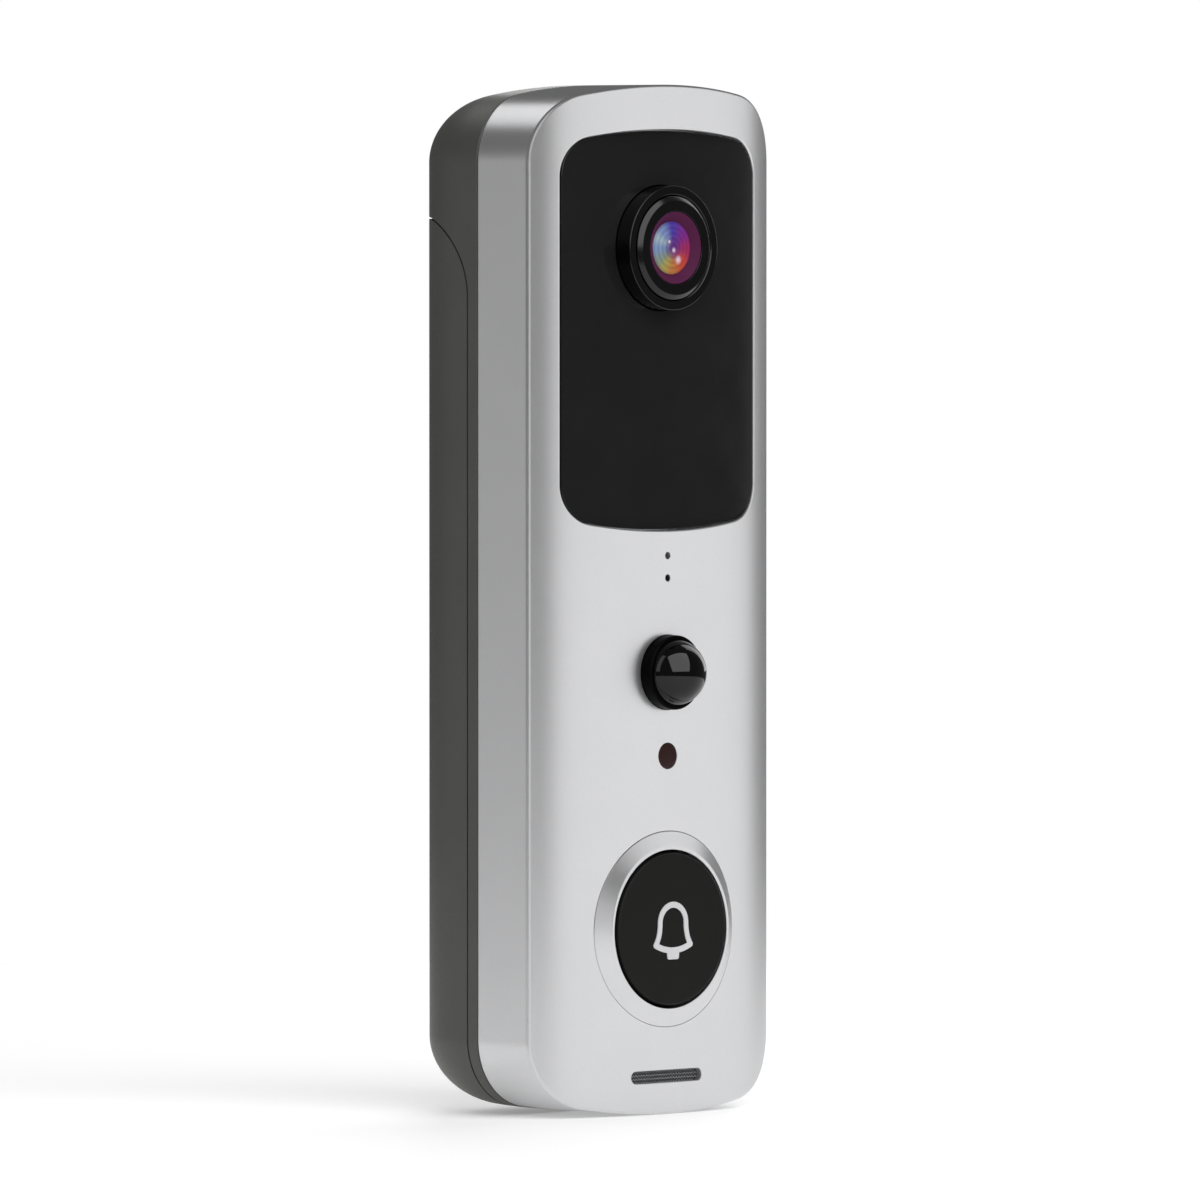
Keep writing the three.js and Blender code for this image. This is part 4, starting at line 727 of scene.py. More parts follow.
def cell_wrap():
    """Shrink wrap on the cells: blue film with faint stretch marks along the cell."""
    finish = Finish("cell_wrap", (0.02, 0.13, 0.34), 0.24)
    stretched = finish.node("ShaderNodeMapping", {"Vector": finish.place, "Scale": (1, 1, 0.12)})
    marks = finish.noise(1.6, 3.0, stretched.outputs[0])
    finish.tone(marks, 0.9, 1.1)
    finish.rough(marks, 0.05)
    finish.bump(marks, 0.02, 0.4)
    return finish.material


def paper_cone():
    finish = Finish("cone_paper", (0.03, 0.028, 0.026), 0.85)
    fibres = finish.noise(0.4, 6.0)
    finish.tone(fibres, 0.7, 1.35)
    finish.bump(fibres, 0.05, 0.8)
    return finish.material


# Colour and roughness, and for moulded plastic also the grain and its relief in millimetres
FINISHES = [
    (moulded_plastic, "dark_plastic", (0.050, 0.050, 0.046), 0.42),
    (moulded_plastic, "button_black", (0.007, 0.0068, 0.0064), 0.5, 0.3, 0.005),
    (moulded_plastic, "symbol_grey", (0.50, 0.50, 0.51), 0.5, 0.2, 0.003),
    (moulded_plastic, "rubber_black", (0.014, 0.014, 0.014), 0.8, 0.5, 0.02),
    (moulded_plastic, "chip_black", (0.012, 0.012, 0.013), 0.6, 0.15, 0.01),
    (polished_plastic, "gloss_black", (0.0088, 0.0088, 0.0088), 0.09),
    (polished_plastic, "dome_black", (0.0006, 0.0006, 0.0006), 0.05),
    (polished_plastic, "collar_black", (0.0006, 0.0006, 0.0006), 0.4),
    (polished_plastic, "black_plastic", (0.0012, 0.0012, 0.0012), 0.2),
    (polished_plastic, "red_brown_plastic", (0.019, 0.0055, 0.0055), 0.2),
    (polished_plastic, "lens_wall", LENS_VIOLET, 0.45),
    (polished_plastic, "led_resin", (0.62, 0.50, 0.12), 0.22),
    (polished_plastic, "ribbon_orange", (0.42, 0.14, 0.02), 0.35),
    (metal, "tinned_metal", (0.72, 0.72, 0.70), 0.3),
    (metal, "screw_steel", (0.50, 0.51, 0.52), 0.32),
]
MATERIALS = {name: make(name, *values) for make, name, *values in FINISHES}
MATERIALS["silver_paint"] = silver_paint()
MATERIALS["coated_glass"] = coated_glass()
MATERIALS["woven_mesh"] = woven_metal()
MATERIALS["circuit_board"] = circuit_board()
MATERIALS["cone_paper"] = paper_cone()
MATERIALS["cell_wrap"] = cell_wrap()

# How strongly the black surfaces reflect, next to 0.5 for plain plastic
SPECULAR_LEVELS = {
    "gloss_black": 0.28,
    "button_black": 0.12,
    "dome_black": 0.35,
    "collar_black": 0.04,
    "coated_glass": 0.09,
    "black_plastic": 0.38,
    "lens_wall": 0.03,
}
for name, level in SPECULAR_LEVELS.items():
    shader = MATERIALS[name].node_tree.nodes["Principled BSDF"]
    shader.inputs["Specular IOR Level"].default_value = level

# ---- front shell and window

BOARD_Y = FACE + 4.7
INNER_HALF_WIDTH = HALF_WIDTH - SIDE_WALL
SCREW_X = INNER_HALF_WIDTH - 3.45
SCREW_ROWS = [TOP - 29.4, BOTTOM + 30.5, BOTTOM + 8]
BOSS_RADIUS = 2.2
SCREW_SHANK = {"radius": 0.85, "length": 7.0}
SCREW_HEAD = {"radius": 1.75, "height": 1.0}
BOARD_HALF_WIDTH = SCREW_X - BOSS_RADIUS - 2 * FIT_GAP
BOARD_PAD_RADIUS = 1.4
BOARD_PAD_X = BOARD_HALF_WIDTH - 2.0
BOARD_PAD_ROWS = [WINDOW.low[2] - drop for drop in (5, 36)]
ROOT = 0.5  # how far a boss or pad reaches into the front wall
LEDGE_FRONT = 1.0  # the window's ledge starts this far behind the face
SEAT_GROW = 1.2  # the bezel's seat is this much wider than the bezel


def shell_form():
    """The outside of the shell: filleted front edge, bowed face, plain side wall."""
    rings = rounded_edge(body_outline, face_y, EDGE_FILLET, FILLET_STEPS + 2)
    for angle in np.linspace(0, QUARTER, FILLET_STEPS):
        outline = body_outline(SEAM_FILLET * (1 - math.cos(angle)))
        rings.append(at_depth(outline, SHELL_BACK - SEAM_FILLET * (1 - math.sin(angle))))
    return loft(rings, strips=True)


def shell_hollow():
    outline = body_outline(SIDE_WALL)
    front = at_depth(outline, face_y(outline[:, 0]) + FRONT_WALL)
    return loft([front, at_depth(outline, FAR)], strips=True)


def window_ledge():
    outline = window_outline(LEDGE_WIDTH)
    front = np.maximum(FACE + 2.3, face_y(outline[:, 0]) + LEDGE_FRONT)
    back = WINDOW_BACK + LEDGE_THICKNESS
    return loft([at_depth(outline, front), at_depth(outline, back)], strips=True)


def shell_supports():
    """The window's ledge, the bezel's seat, the screw bosses and the board's pads."""
    seat_front, seat_back = FACE + 1.3, FACE + BEZEL_SEAT + 1.6
    seat = rod(BEZEL_RADIUS + SEAT_GROW, seat_front, seat_back, 0, BUTTON_Z, CIRCLE)
    supports = [window_ledge(), seat]
    for side in (-1, 1):
        for x, radius, back, rows in (
            (side * SCREW_X, BOSS_RADIUS, SHELL_BACK, SCREW_ROWS),
            (side * BOARD_PAD_X, BOARD_PAD_RADIUS, BOARD_Y - PART_GAP, BOARD_PAD_ROWS),
        ):
            front = face_y(x) + FRONT_WALL - ROOT
            supports += [rod(radius, front, back, x, z) for z in rows]
    return supports


def round_mouth(radius, z, depth, lip):
    steps = CIRCLE if radius > 3 else SMALL_CIRCLE
    return mouth(lambda grow: circle_outline(radius + grow, z, steps=steps), face_y, lip, depth)


def slot_outline(grow):
    return stadium_outline(SLOT_LENGTH + 2 * grow, SLOT_HEIGHT + 2 * grow, SLOT_Z)


def mesh_pocket():
    low, high = MESH.low - FIT_GAP, MESH.high + FIT_GAP
    return block(low[0], high[0], FACE + MESH_COVER, CREASE, low[2], high[2])


def screw_bores(radius, front, back=FAR):
    return [rod(radius, front, back, side * SCREW_X, z) for side in (-1, 1) for z in SCREW_ROWS]


def recess_outline(grow):
    return window_outline(FIT_GAP + grow)


def front_shell():
    shell = join(cut(shell_form(), shell_hollow()), *shell_supports())
    cut(
        shell,
        *screw_bores(SCREW_SHANK["radius"] + PART_GAP, SHELL_BACK - SCREW_SHANK["length"]),
        mouth(recess_outline, face_y, RECESS_FILLET, WINDOW_BACK + PART_GAP),
        prism(window_outline(-LEDGE_WIDTH), -FAR, WINDOW_BACK + LEDGE_THICKNESS + 1),
        round_mouth(BEZEL_RADIUS + BEZEL_JOINT, BUTTON_Z, FACE + BEZEL_SEAT, BEZEL_JOINT),
        rod(BEZEL_NECK + FIT_GAP, -FAR, CREASE + 1, 0, BUTTON_Z, CIRCLE),
        round_mouth(PIR_RADIUS + PIR_JOINT, PIR_Z, CREASE, PIR_JOINT),
        round_mouth(INDICATOR_RADIUS + PART_GAP, INDICATOR_Z, CREASE, 0.08),
        round_mouth(PINHOLE_RADIUS, MIC_Z, CREASE, PINHOLE_LIP),
        round_mouth(PINHOLE_RADIUS, CHARGE_LIGHT_Z, CREASE, PINHOLE_LIP),
        mouth(slot_outline, face_y, HOLE_FILLET, CREASE),
        mesh_pocket(),
    )
    return finished(shell, "front_shell", "silver_paint", surface=(face_y, face_slope))


def window_panel():
    rings = rounded_edge(lambda inset: window_outline(-inset), window_y, WINDOW_FILLET)
    rings.append(at_depth(window_outline(0), WINDOW_BACK))
    panel = loft(rings, strips=True)
    cut(panel, rod(RING_RADIUS + FIT_GAP, -FAR, FAR, 0, LENS_Z, CIRCLE))
    return finished(panel, "window_panel", "gloss_black", surface=(window_y, window_slope))


# ---- camera


def front_piece(profile, z, node, material, fillet=0.08, **settings):
    """A turned piece on the front face, with small fillets on its corners."""
    shape = rounded(profile, fillet) if fillet else profile
    return finished(turned(shape, (0, z)), node, material, 38, **settings)


def lens_ring():
    flange_front, flange_back = WINDOW_BACK + FIT_GAP, RING.high[1]
    profile = [
        [RING_BORE, (RING_FRONT + flange_back) / 2],
        [RING_BORE, RING_FRONT + RING_BEVEL],
        [RING_MOUTH, RING_FRONT],
        [RING_RADIUS, RING_FRONT],
        [RING_RADIUS, flange_front],
        [RING_FLANGE, flange_front],
        [RING_FLANGE, flange_back],
        [RING_BORE, flange_back],
    ]
    return front_piece(profile, LENS_Z, "lens_ring", "black_plastic", 0.16)


def lens_barrel():
    bore = BARREL_RADIUS - 1.1
    seat = bore - 0.6
    rear = BARREL.high[1]
    shoulder = BARREL_FRONT + 1.0
    profile = [
        [bore, BARREL_FRONT + 1.5],
        [bore, BARREL_FRONT],
        [BARREL_LIP - BARREL_CHAMFER, BARREL_FRONT],
        [BARREL_LIP, RING_FRONT],
        [BARREL_LIP, shoulder],
        [BARREL_RADIUS, shoulder],
        [BARREL_RADIUS, rear],
        [seat, rear],
        [seat, rear - 0.6],
        [bore, rear - 0.6],
    ]
    return front_piece(profile, LENS_Z, "lens_barrel", "black_plastic")


def lens_glass():
    """Front element: a coned rim that leads down to a low dome."""
    inner = IRIS_RADIUS + 0.1
    deep = BARREL_FRONT + 1.0
    rise = 0.45
    angles = np.linspace(0, QUARTER, 17)
    dome = [[inner * math.sin(a), deep - rise * math.cos(a)] for a in angles]
    back = GLASS.high[1]
    rim = [[GLASS_RADIUS - 0.12, BARREL_FRONT + 0.02], [GLASS_RADIUS, BARREL_FRONT + 0.12]]
    profile = dome + rim + [[GLASS_RADIUS, back], [0.0, back]]
    glass = front_piece(profile, LENS_Z, "lens_glass", "coated_glass", 0)
    second_look(glass, "lens_wall", lambda x, y, z: math.hypot(x, z - LENS_Z) > inner)
    return glass


# ---- sensors on the front


def pir_lens():
    """Motion sensor: a glossy dome that rises from a black collar, with a flange behind the face."""
    collar = FACE - PIR_COLLAR["height"]
    across = PIR_RADIUS - PIR_COLLAR["ledge"]
    rise = collar - PIR.low[1]
    ball = (across**2 + rise**2) / (2 * rise)
    skin = PIR_RADIUS - 1.0
    back = PIR.high[1]
    foot = back - 0.8 + FIT_GAP
    spread = math.asin(across / ball)
    if rise > ball:
        spread = math.pi - spread
    angles = np.linspace(0, spread, 41)
    dome = [[ball * math.sin(a), PIR.low[1] + ball * (1 - math.cos(a))] for a in angles]
    rim = rounded([dome[-1], [PIR_RADIUS, collar], [PIR_RADIUS, foot]], PIR_COLLAR["fillet"])
    base = [[PIR_FLANGE, foot], [PIR_FLANGE, back], [skin, back]]
    angles = np.linspace(QUARTER, 0, 21)
    hollow = [[skin * math.sin(a), collar + 0.4 - (rise - 0.6) * math.cos(a)] for a in angles]
    profile = dome[:-1] + rim + base + hollow
    lens = front_piece(profile, PIR_Z, "pir_lens", "gloss_black", 0, look="dome_black")
    second_look(lens, "collar_black", lambda x, y, z: y > collar - PART_GAP)
    return lens


def indicator_lens():
    profile = pin_profile(INDICATOR_RADIUS, INDICATOR.low[1], INDICATOR.high[1])
    return front_piece(profile, INDICATOR_Z, "indicator_lens", "red_brown_plastic")


def charge_light_pipe():
    profile = pin_profile(PINHOLE_RADIUS - PART_GAP, PIPE.low[1], PIPE.high[1])
    return front_piece(profile, CHARGE_LIGHT_Z, "charge_light_pipe", "black_plastic")


# ---- bell button


def button_bezel():
    """A ring whose sloping face runs from a raised rim down to the bowed front face."""
    rim = FACE - BEZEL_PROUD
    seat = FACE + BEZEL_SEAT - PART_GAP
    points = []
    for angle in np.linspace(0, 2 * math.pi, CIRCLE, endpoint=False):
        section = [
            [BEZEL_BORE, BEZEL_BACK - 1],
            [BEZEL_BORE, rim],
            [BEZEL_RIM, rim],
            [BEZEL_RADIUS, float(face_y(BEZEL_RADIUS * math.cos(angle))) - 0.02],
            [BEZEL_RADIUS, seat],
            [BEZEL_NECK, seat],
            [BEZEL_NECK, BEZEL_BACK],
            [BEZEL_BORE, BEZEL_BACK],
        ]
        for radius, depth in rounded(section, 0.12):
            points.append([radius * math.cos(angle), depth, BUTTON_Z + radius * math.sin(angle)])
    faces = bands(CIRCLE, len(points) // CIRCLE, closed=True)
    return finished(mesh_object(points, faces), "button_bezel", "silver_paint", 38)


def button_cap():
    back = CAP.high[1]
    inner = CAP_RADIUS - 1.0
    under = CAP_FRONT + 1.4
    post_end = under + 1.05 - PART_GAP
    flange = back - 0.5
    profile = [
        [0, CAP_FRONT],
        [CAP_RADIUS, CAP_FRONT],
        [CAP_RADIUS, flange],
        [CAP_FLANGE, flange],
        [CAP_FLANGE, back],
        [inner, back],
        [inner, under],
        [2.0, under],
        [2.0, post_end],
        [0, post_end],
    ]
    return front_piece(profile, BUTTON_Z, "button_cap", "button_black", 0.38, body="bell_button")


SYMBOL = {
    "top": 3.68,
    "dome": 2.45,  # radius of the head, to the middle of the stroke
    "foot_x": 3.3,
    "foot_z": -2.1,
    "belly": 0.75,  # drop of the lower edge in the middle
    "clapper_half": 1.15,
    "clapper_low": -4.05,
}


def bell_path():
    """The middle of the stroke: a round head, sides that flare to the foot, a hanging lower edge."""
    dome, foot_x, foot_z = SYMBOL["dome"], SYMBOL["foot_x"], SYMBOL["foot_z"]
    centre = SYMBOL["top"] - SYMBOL_STROKE / 2 - dome
    head = arc(0, centre, dome, 0, math.pi, 40)
    shares = np.linspace(0, 1, 20)[1:]
    curve = [[-dome, centre], [-dome - 0.02, -1.0], [-foot_x, foot_z]]
    start, pull, end = (np.array(point) for point in curve)
    flare = [(1 - s) ** 2 * start + 2 * s * (1 - s) * pull + s * s * end for s in shares]
    across = np.linspace(-foot_x, foot_x, 28)[1:]
    lower = [[x, foot_z - SYMBOL["belly"] * (1 - (x / foot_x) ** 2)] for x in across]
    right = [[-x, z] for x, z in flare[:-1]][::-1]
    return np.concatenate([head, flare, lower, right])


def stroke_edge(path, distance):
    """One edge of a stroke along a closed path: round outer corners, trimmed inner ones."""
    points = []
    for before, here, after in zip(np.roll(path, 1, 0), path, np.roll(path, -1, 0)):
        came, goes = here - before, after - here
        start = math.atan2(-came[0], came[1])
        turn = math.atan2(-goes[0], goes[1]) - start
        turn = (turn + math.pi) % (2 * math.pi) - math.pi
        for share in np.linspace(0, 1, max(2, int(abs(turn) / 0.2) + 1)):
            angle = start + turn * share
            points.append(here + distance * np.array([math.cos(angle), math.sin(angle)]))
    points = np.array(points)
    nearest = np.linalg.norm(points[:, None] - path[None], axis=2).min(1)
    return points[nearest > abs(distance) * 0.985]


def resampled(outline, count):
    """A closed outline drawn again with evenly spaced points."""
    closed = np.vstack([outline, outline[:1]])
    along = np.concatenate([[0], np.cumsum(np.linalg.norm(np.diff(closed, axis=0), axis=1))])
    places = np.linspace(0, along[-1], count, endpoint=False)
    return np.column_stack([np.interp(places, along, closed[:, axis]) for axis in (0, 1)])


def pierced_plate(outer, inner, front, back):
    """A flat plate between two outlines of as many points, from depth front to depth back."""
    sections = [(outer, front), (outer, back), (inner, back), (inner, front)]
    points = np.concatenate([at_depth(outline, depth) for outline, depth in sections])
    return mesh_object(points, bands(len(sections), len(outer), closed=True))


def bell_symbol():
    """Printed bell: an outline of even stroke and a small clapper below it."""
    front, back = PRINT.low[1], CAP_FRONT - 0.005
    outer, inner = (
        resampled(stroke_edge(bell_path(), side * SYMBOL_STROKE / 2) + [0, BUTTON_Z], 240)
        for side in (1, -1)
    )
    bell = pierced_plate(outer, inner, front, back)
    half, low = SYMBOL["clapper_half"], SYMBOL["clapper_low"]
    high = SYMBOL["foot_z"] - SYMBOL["belly"]
    corner = 0.3
    reach = half - corner - 0.08
    clapper = [[half, high], [-half, high]]
    clapper += arc(-half + corner + 0.08, low + corner, corner, math.pi, 3 * QUARTER, 5).tolist()
    clapper += arc(reach, low + corner, corner, -QUARTER, 0, 5).tolist()
    join(bell, prism(np.array(clapper) + [0, BUTTON_Z], front, back))
    return finished(bell, "bell_symbol", "symbol_grey", 30, body="bell_button")


# ---- speaker mesh


def tube(points, faces, path, radius, sides, upright):
    """A closed tube along a path that never runs along upright."""
    start = len(points)
    tangents = np.gradient(path, axis=0)
    tangents /= np.linalg.norm(tangents, axis=1)[:, None]
    across = np.cross(tangents, upright)
    across /= np.linalg.norm(across, axis=1)[:, None]
    up = np.cross(across, tangents)
    for centre, a, b in zip(path, across, up):
        for i in range(sides):
            angle = 2 * math.pi * i / sides
            points.append(centre + radius * (a * math.cos(angle) + b * math.sin(angle)))
    faces += bands(len(path), sides, start)
    last = start + (len(path) - 1) * sides
    faces.append([start + i for i in range(sides)][::-1])
    faces.append([last + i for i in range(sides)])


def speaker_mesh():
    """Plain weave of fine wires laid at 45 degrees across the slot."""
    middle = np.array([0, MESH.mid[1], SLOT_Z])
    half_x, half_z = MESH.high[0] - WIRE_RADIUS, (MESH.high[2] - MESH.low[2]) / 2 - WIRE_RADIUS
    amplitude = (MESH.high[1] - MESH.low[1]) / 2 - WIRE_RADIUS
    points, faces = [], []
    reach = int((half_x + half_z) / (WIRE_PITCH * math.sqrt(2))) + 1
    for direction in (1, -1):
        for number in range(-reach, reach + 1):
            # The wire runs along x = offset + direction * z inside the rectangle.
            offset = number * WIRE_PITCH * math.sqrt(2)
            low = max(-half_z, -half_x - direction * offset)
            high = min(half_z, half_x - direction * offset)
            if high - low < WIRE_PITCH:
                continue
            z = np.linspace(low, high, max(4, int((high - low) / WIRE_PITCH * 5)))
            x = offset + direction * z
            along = (direction * x + z) / math.sqrt(2) / WIRE_PITCH
            y = direction * amplitude * np.cos(math.pi * (along + number))
            tube(points, faces, np.stack([x, y, z], 1) + middle, WIRE_RADIUS, 6, (0, 1, 0))
    return finished(mesh_object(points, faces), "speaker_mesh", "woven_mesh", 60)


# ---- housing and rear cover

CAMERA_BOARD = span("camera_board")
SERVICE = span("service_board")
MAGNET = span("speaker_magnet")
CELL = span("battery_left")
CONTACT = span("battery_contact_left")
LOCK = span("lock_screw")
USB = span("usb_socket")
RESET = span("reset_button")

SPEAKER_Z = MAGNET.mid[2]
SPEAKER_RADIUS = 9.5
MAGNET_RADIUS = MAGNET.high[0]
SERVICE_Z = SERVICE.mid[2]
SERVICE_BACK = SERVICE.high[1]
LOCK_SCREW_Y = LOCK.mid[1]
LOCK_SCREW = {"head": 1.6, "head_height": 1.0, "shank": 0.9}
CHAMBER_REAR = USB.high[1] + 0.1
CELL_RADIUS = (CELL.high[1] - CELL.low[1]) / 2
CELL_Y = CELL.mid[1]
CELL_X = (CELL.high[0] - CELL.low[0]) / 2 + 0.25
BAY_HALF_WIDTH = CELL_X + CELL_RADIUS + SLIDE_GAP
BAY_TOP = CONTACT.high[2] + PART_GAP
BAY_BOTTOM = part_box("battery_spring_left")[0][2] / MM - PART_GAP
BAY_FLOOR = CELL_Y - CELL_RADIUS - SLIDE_GAP
CAMERA_BAY_REAR = 7.6
HOOK = {"rise": 17.5, "height": 8.0, "wall": 1.2, "grip": 1.2}
HOOK_MIDDLE = BOTTOM + HOOK["rise"]
HOOK_SPAN = (HOOK_MIDDLE - HOOK["height"] / 2, HOOK_MIDDLE + HOOK["height"] / 2)
RESET_RADIUS = 1.5
THREAD_PITCH = 0.42
RAIL_X = HALF_WIDTH - COVER_WALL - 2.1
RAIL_FRONT = SEAM + 1.3
RAIL_BACK = RAIL_FRONT + 2.0
TONGUE_BACK = -COVER_WALL - TONGUE["wall_gap"]
TONGUE_FRONT = TONGUE_BACK - TONGUE["thickness"]
SEAL = {"width": 0.7, "depth": 0.75, "inset": 0.7}


def back_form(wall, front, lip=0.0):
    """The rounded back of the body, shrunk by wall, from depth front to its rear face."""
    steps = FILLET_STEPS if lip else 1
    rings = rounded_edge(lambda inset: body_outline(wall + inset), lambda x: front, lip, steps)
    for angle in np.linspace(0, QUARTER, ROUND_STEPS + 1):
        inset = wall + (BACK_ROUND_INSET - wall * 0.5) * (1 - math.cos(angle))
        depth = ROUND_START - (ROUND_START + wall) * math.sin(angle)
        rings.append(at_depth(body_outline(inset), depth))
    return loft(rings)


def cover_space(amount):
    """The space of the rear cover seen from the side, grown by amount beyond its seam."""
    centre, shoulder = SEAM + SEAM_RADIUS, COVER_TOP - SEAM_RADIUS
    corner = arc(centre, shoulder, SEAM_RADIUS + amount, math.pi, QUARTER, 40)
    rest = [[FAR, COVER_TOP + amount], [FAR, -FAR], [SEAM - amount, -FAR]]
    ring = np.array(corner.tolist() + rest, float)
    return loft([np.column_stack([np.full(len(ring), x), ring]) for x in (-FAR, FAR)])


def post(radius, low, high, y, steps=32):
    return turned(pin_profile(radius, low, high), (0, y), "Z", steps)


def bay(half_width, rear, low, high, wall):
    """A box hollow that is open to the front: its outer block and its room."""
    outer = block(-half_width, half_width, SHELL_BACK + PART_GAP, rear, low, high)
    inner = half_width - wall
    return outer, block(-inner, inner, -FAR, rear - wall, low + wall, high - wall)


def rail_hook(side):
    wall_out = RAIL_X - SLIDE_GAP - 0.1
    wall = sorted([side * (wall_out - HOOK["wall"]), side * wall_out])
    lip = sorted([side * (wall_out - HOOK["wall"]), side * (RAIL_X + HOOK["grip"])])
    lip_front = RAIL_BACK + SLIDE_GAP
    lip_back = lip_front + HOOK["wall"]
    return (
        block(*wall, SEAM - 0.5, lip_back, *HOOK_SPAN),
        block(*lip, lip_front, lip_back, *HOOK_SPAN),
    )


def housing_supports():
    """Pads and posts that the boards and the speaker rest on."""
    pads = []
    for side in (-1, 1):
        front, back = BOARD_Y + 1 + PART_GAP, BAY_FLOOR - BAY_WALL / 2
        for z in (BAY_TOP - 9, BAY_BOTTOM + 9):
            pads.append(rod(BOARD_PAD_RADIUS, front, back, side * BOARD_PAD_X, z))
        x = side * (CAMERA_BOARD.high[0] - 2)
        front, back = CAMERA_BOARD.high[1] + PART_GAP, -CAMERA_BAY_REAR - BAY_WALL / 2
        pads.append(rod(BOARD_PAD_RADIUS, front, back, x, LENS_Z))
    floor = CHAMBER_REAR - CHAMBER_WALL / 2
    pads.append(rod(MAGNET_RADIUS - 1, MAGNET.high[1] + PART_GAP, floor, 0, SPEAKER_Z))
    pads += [rod(1, SERVICE_BACK + PART_GAP, floor, x, SERVICE_Z) for x in (1.2, 10.8)]
    return pads


def seal_groove():
    outline, inner = body_outline(SEAL["inset"] - FIT_GAP / 3), SEAL["inset"] + SEAL["width"]
    outer = prism(outline, -FAR, SHELL_BACK + SEAL["depth"] + PART_GAP)
    return cut(outer, prism(body_outline(inner + FIT_GAP / 3), -2 * FAR, FAR))


def head_room():
    """The hollow of the housing's head, above the cover."""
    below = COVER_TOP - SEAM_RADIUS + BOSS_RADIUS
    room = back_form(COVER_WALL, -FAR)
    return cut(room, cover_space(HEAD_SEAM_WALL), block(-FAR, FAR, -2 * FAR, FAR, -FAR, below))


def rear_housing():
    """Dark body behind the silver shell: head, flange, battery bay and the two closed boxes."""
    housing = cut(back_form(0, SHELL_BACK + PART_GAP, SEAM_FILLET), cover_space(0))
    half_camera = CAMERA_BOARD.high[0] + 1.0 + BAY_WALL
    camera_top = CAMERA_BOARD.high[2] + 1.0 + BAY_WALL
    camera, camera_room = bay(half_camera, -CAMERA_BAY_REAR, BAY_TOP, camera_top, BAY_WALL)
    half_chamber = SERVICE.high[0] + FIT_GAP + CHAMBER_WALL
    low = SPEAKER_Z - SPEAKER_RADIUS - FIT_GAP - CHAMBER_WALL
    high = SERVICE.high[2] + FIT_GAP + CHAMBER_WALL
    chamber, chamber_room = bay(half_chamber, CHAMBER_REAR, low, high, CHAMBER_WALL)
    wide = BAY_HALF_WIDTH + BAY_WALL
    well = block(-wide, wide, BAY_FLOOR - BAY_WALL, SEAM, BAY_BOTTOM - BAY_WALL, BAY_TOP + BAY_WALL)
    join(housing, camera, chamber, well, *rail_hook(-1), *rail_hook(1))
    half, front = TONGUE["half_width"] + SLIDE_GAP, TONGUE_FRONT - SLIDE_GAP
    cut(
        housing,
        head_room(),
        camera_room,
        chamber_room,
        block(-BAY_HALF_WIDTH, BAY_HALF_WIDTH, BAY_FLOOR, FAR, BAY_BOTTOM, BAY_TOP),
        block(-half, half, front, -COVER_WALL, COVER_TOP - 1, COVER.high[2] + SLIDE_GAP),
    )
    join(housing, *housing_supports())
    usb_x = [USB.low[0] - FIT_GAP, USB.high[0] + FIT_GAP]
    usb_z = [USB.low[2] - FIT_GAP, USB.high[2] + FIT_GAP]
    cut(
        housing,
        *screw_bores(SCREW_SHANK["radius"] + FIT_GAP, -FAR, SEAM + 1),
        seal_groove(),
        block(*usb_x, CHAMBER_REAR - 3, FAR, *usb_z),
        rod(RESET_RADIUS + FIT_GAP, CHAMBER_REAR - 3, FAR, RESET.mid[0], SERVICE_Z),
        post(LOCK_SCREW["shank"] + FIT_GAP, BOTTOM, LOCK.high[2] + SLIDE_GAP, LOCK_SCREW_Y),
    )
    return finished(housing, "rear_housing", "dark_plastic", 30)


def wall_hole(z):
    """A hole for a wall screw, with a softened edge on the inside."""
    lip = 0.3
    inside = -COVER_WALL
    profile = [[0, inside - 1], [WALL_HOLE_RADIUS + lip, inside - 1], [WALL_HOLE_RADIUS + lip, inside]]
    for angle in np.linspace(0, QUARTER, FILLET_STEPS):
        reach = WALL_HOLE_RADIUS + lip * (1 - math.sin(angle))
        profile.append([reach, inside + lip * math.sin(angle)])
    profile += [[WALL_HOLE_RADIUS, FAR], [0, FAR]]
    return turned(profile, (0, z), steps=SMALL_CIRCLE)


def rear_cover():
    """The part that hangs on the wall: a rounded tray with rails, a tongue and two screw holes."""
    cover = cut(back_form(0, SHELL_BACK), back_form(COVER_WALL, -FAR))
    combine(cover, [cover_space(-SEAM_GAP)], "INTERSECT")
    rails = []
    for side in (-1, 1):
        edges = sorted([side * RAIL_X, side * (HALF_WIDTH - COVER_WALL / 2)])
        rails.append(block(*edges, RAIL_FRONT, RAIL_BACK, *HOOK_SPAN))
    half, low = TONGUE["half_width"], COVER_TOP - TONGUE["root"]
    tongue = block(-half, half, TONGUE_FRONT, TONGUE_BACK, low, COVER.high[2])
    root = block(-half, half, TONGUE_FRONT, -COVER_WALL + 0.2, low, COVER_TOP - 2 * SEAM_GAP)
    join(cover, *rails, tongue, root)
    neck = LOCK.low[2] + LOCK_SCREW["head_height"]
    cut(
        cover,
        *[wall_hole(end * WALL_HOLE_SPREAD / 2) for end in (-1, 1)],
        post(LOCK_SCREW["head"] + FIT_GAP, -FAR, neck, LOCK_SCREW_Y),
        post(LOCK_SCREW["shank"] + FIT_GAP, -FAR, LOCK.high[2], LOCK_SCREW_Y),
    )
    return finished(cover, "rear_cover", "dark_plastic", 30, body="wall_cover")


def housing_seal():
    front = SHELL_BACK + PART_GAP
    outer = prism(body_outline(SEAL["inset"]), front, front + SEAL["depth"] - PART_GAP)
    seal = cut(outer, prism(body_outline(SEAL["inset"] + SEAL["width"]), -FAR, FAR))
    return finished(seal, "housing_seal", "rubber_black")


# ---- fasteners


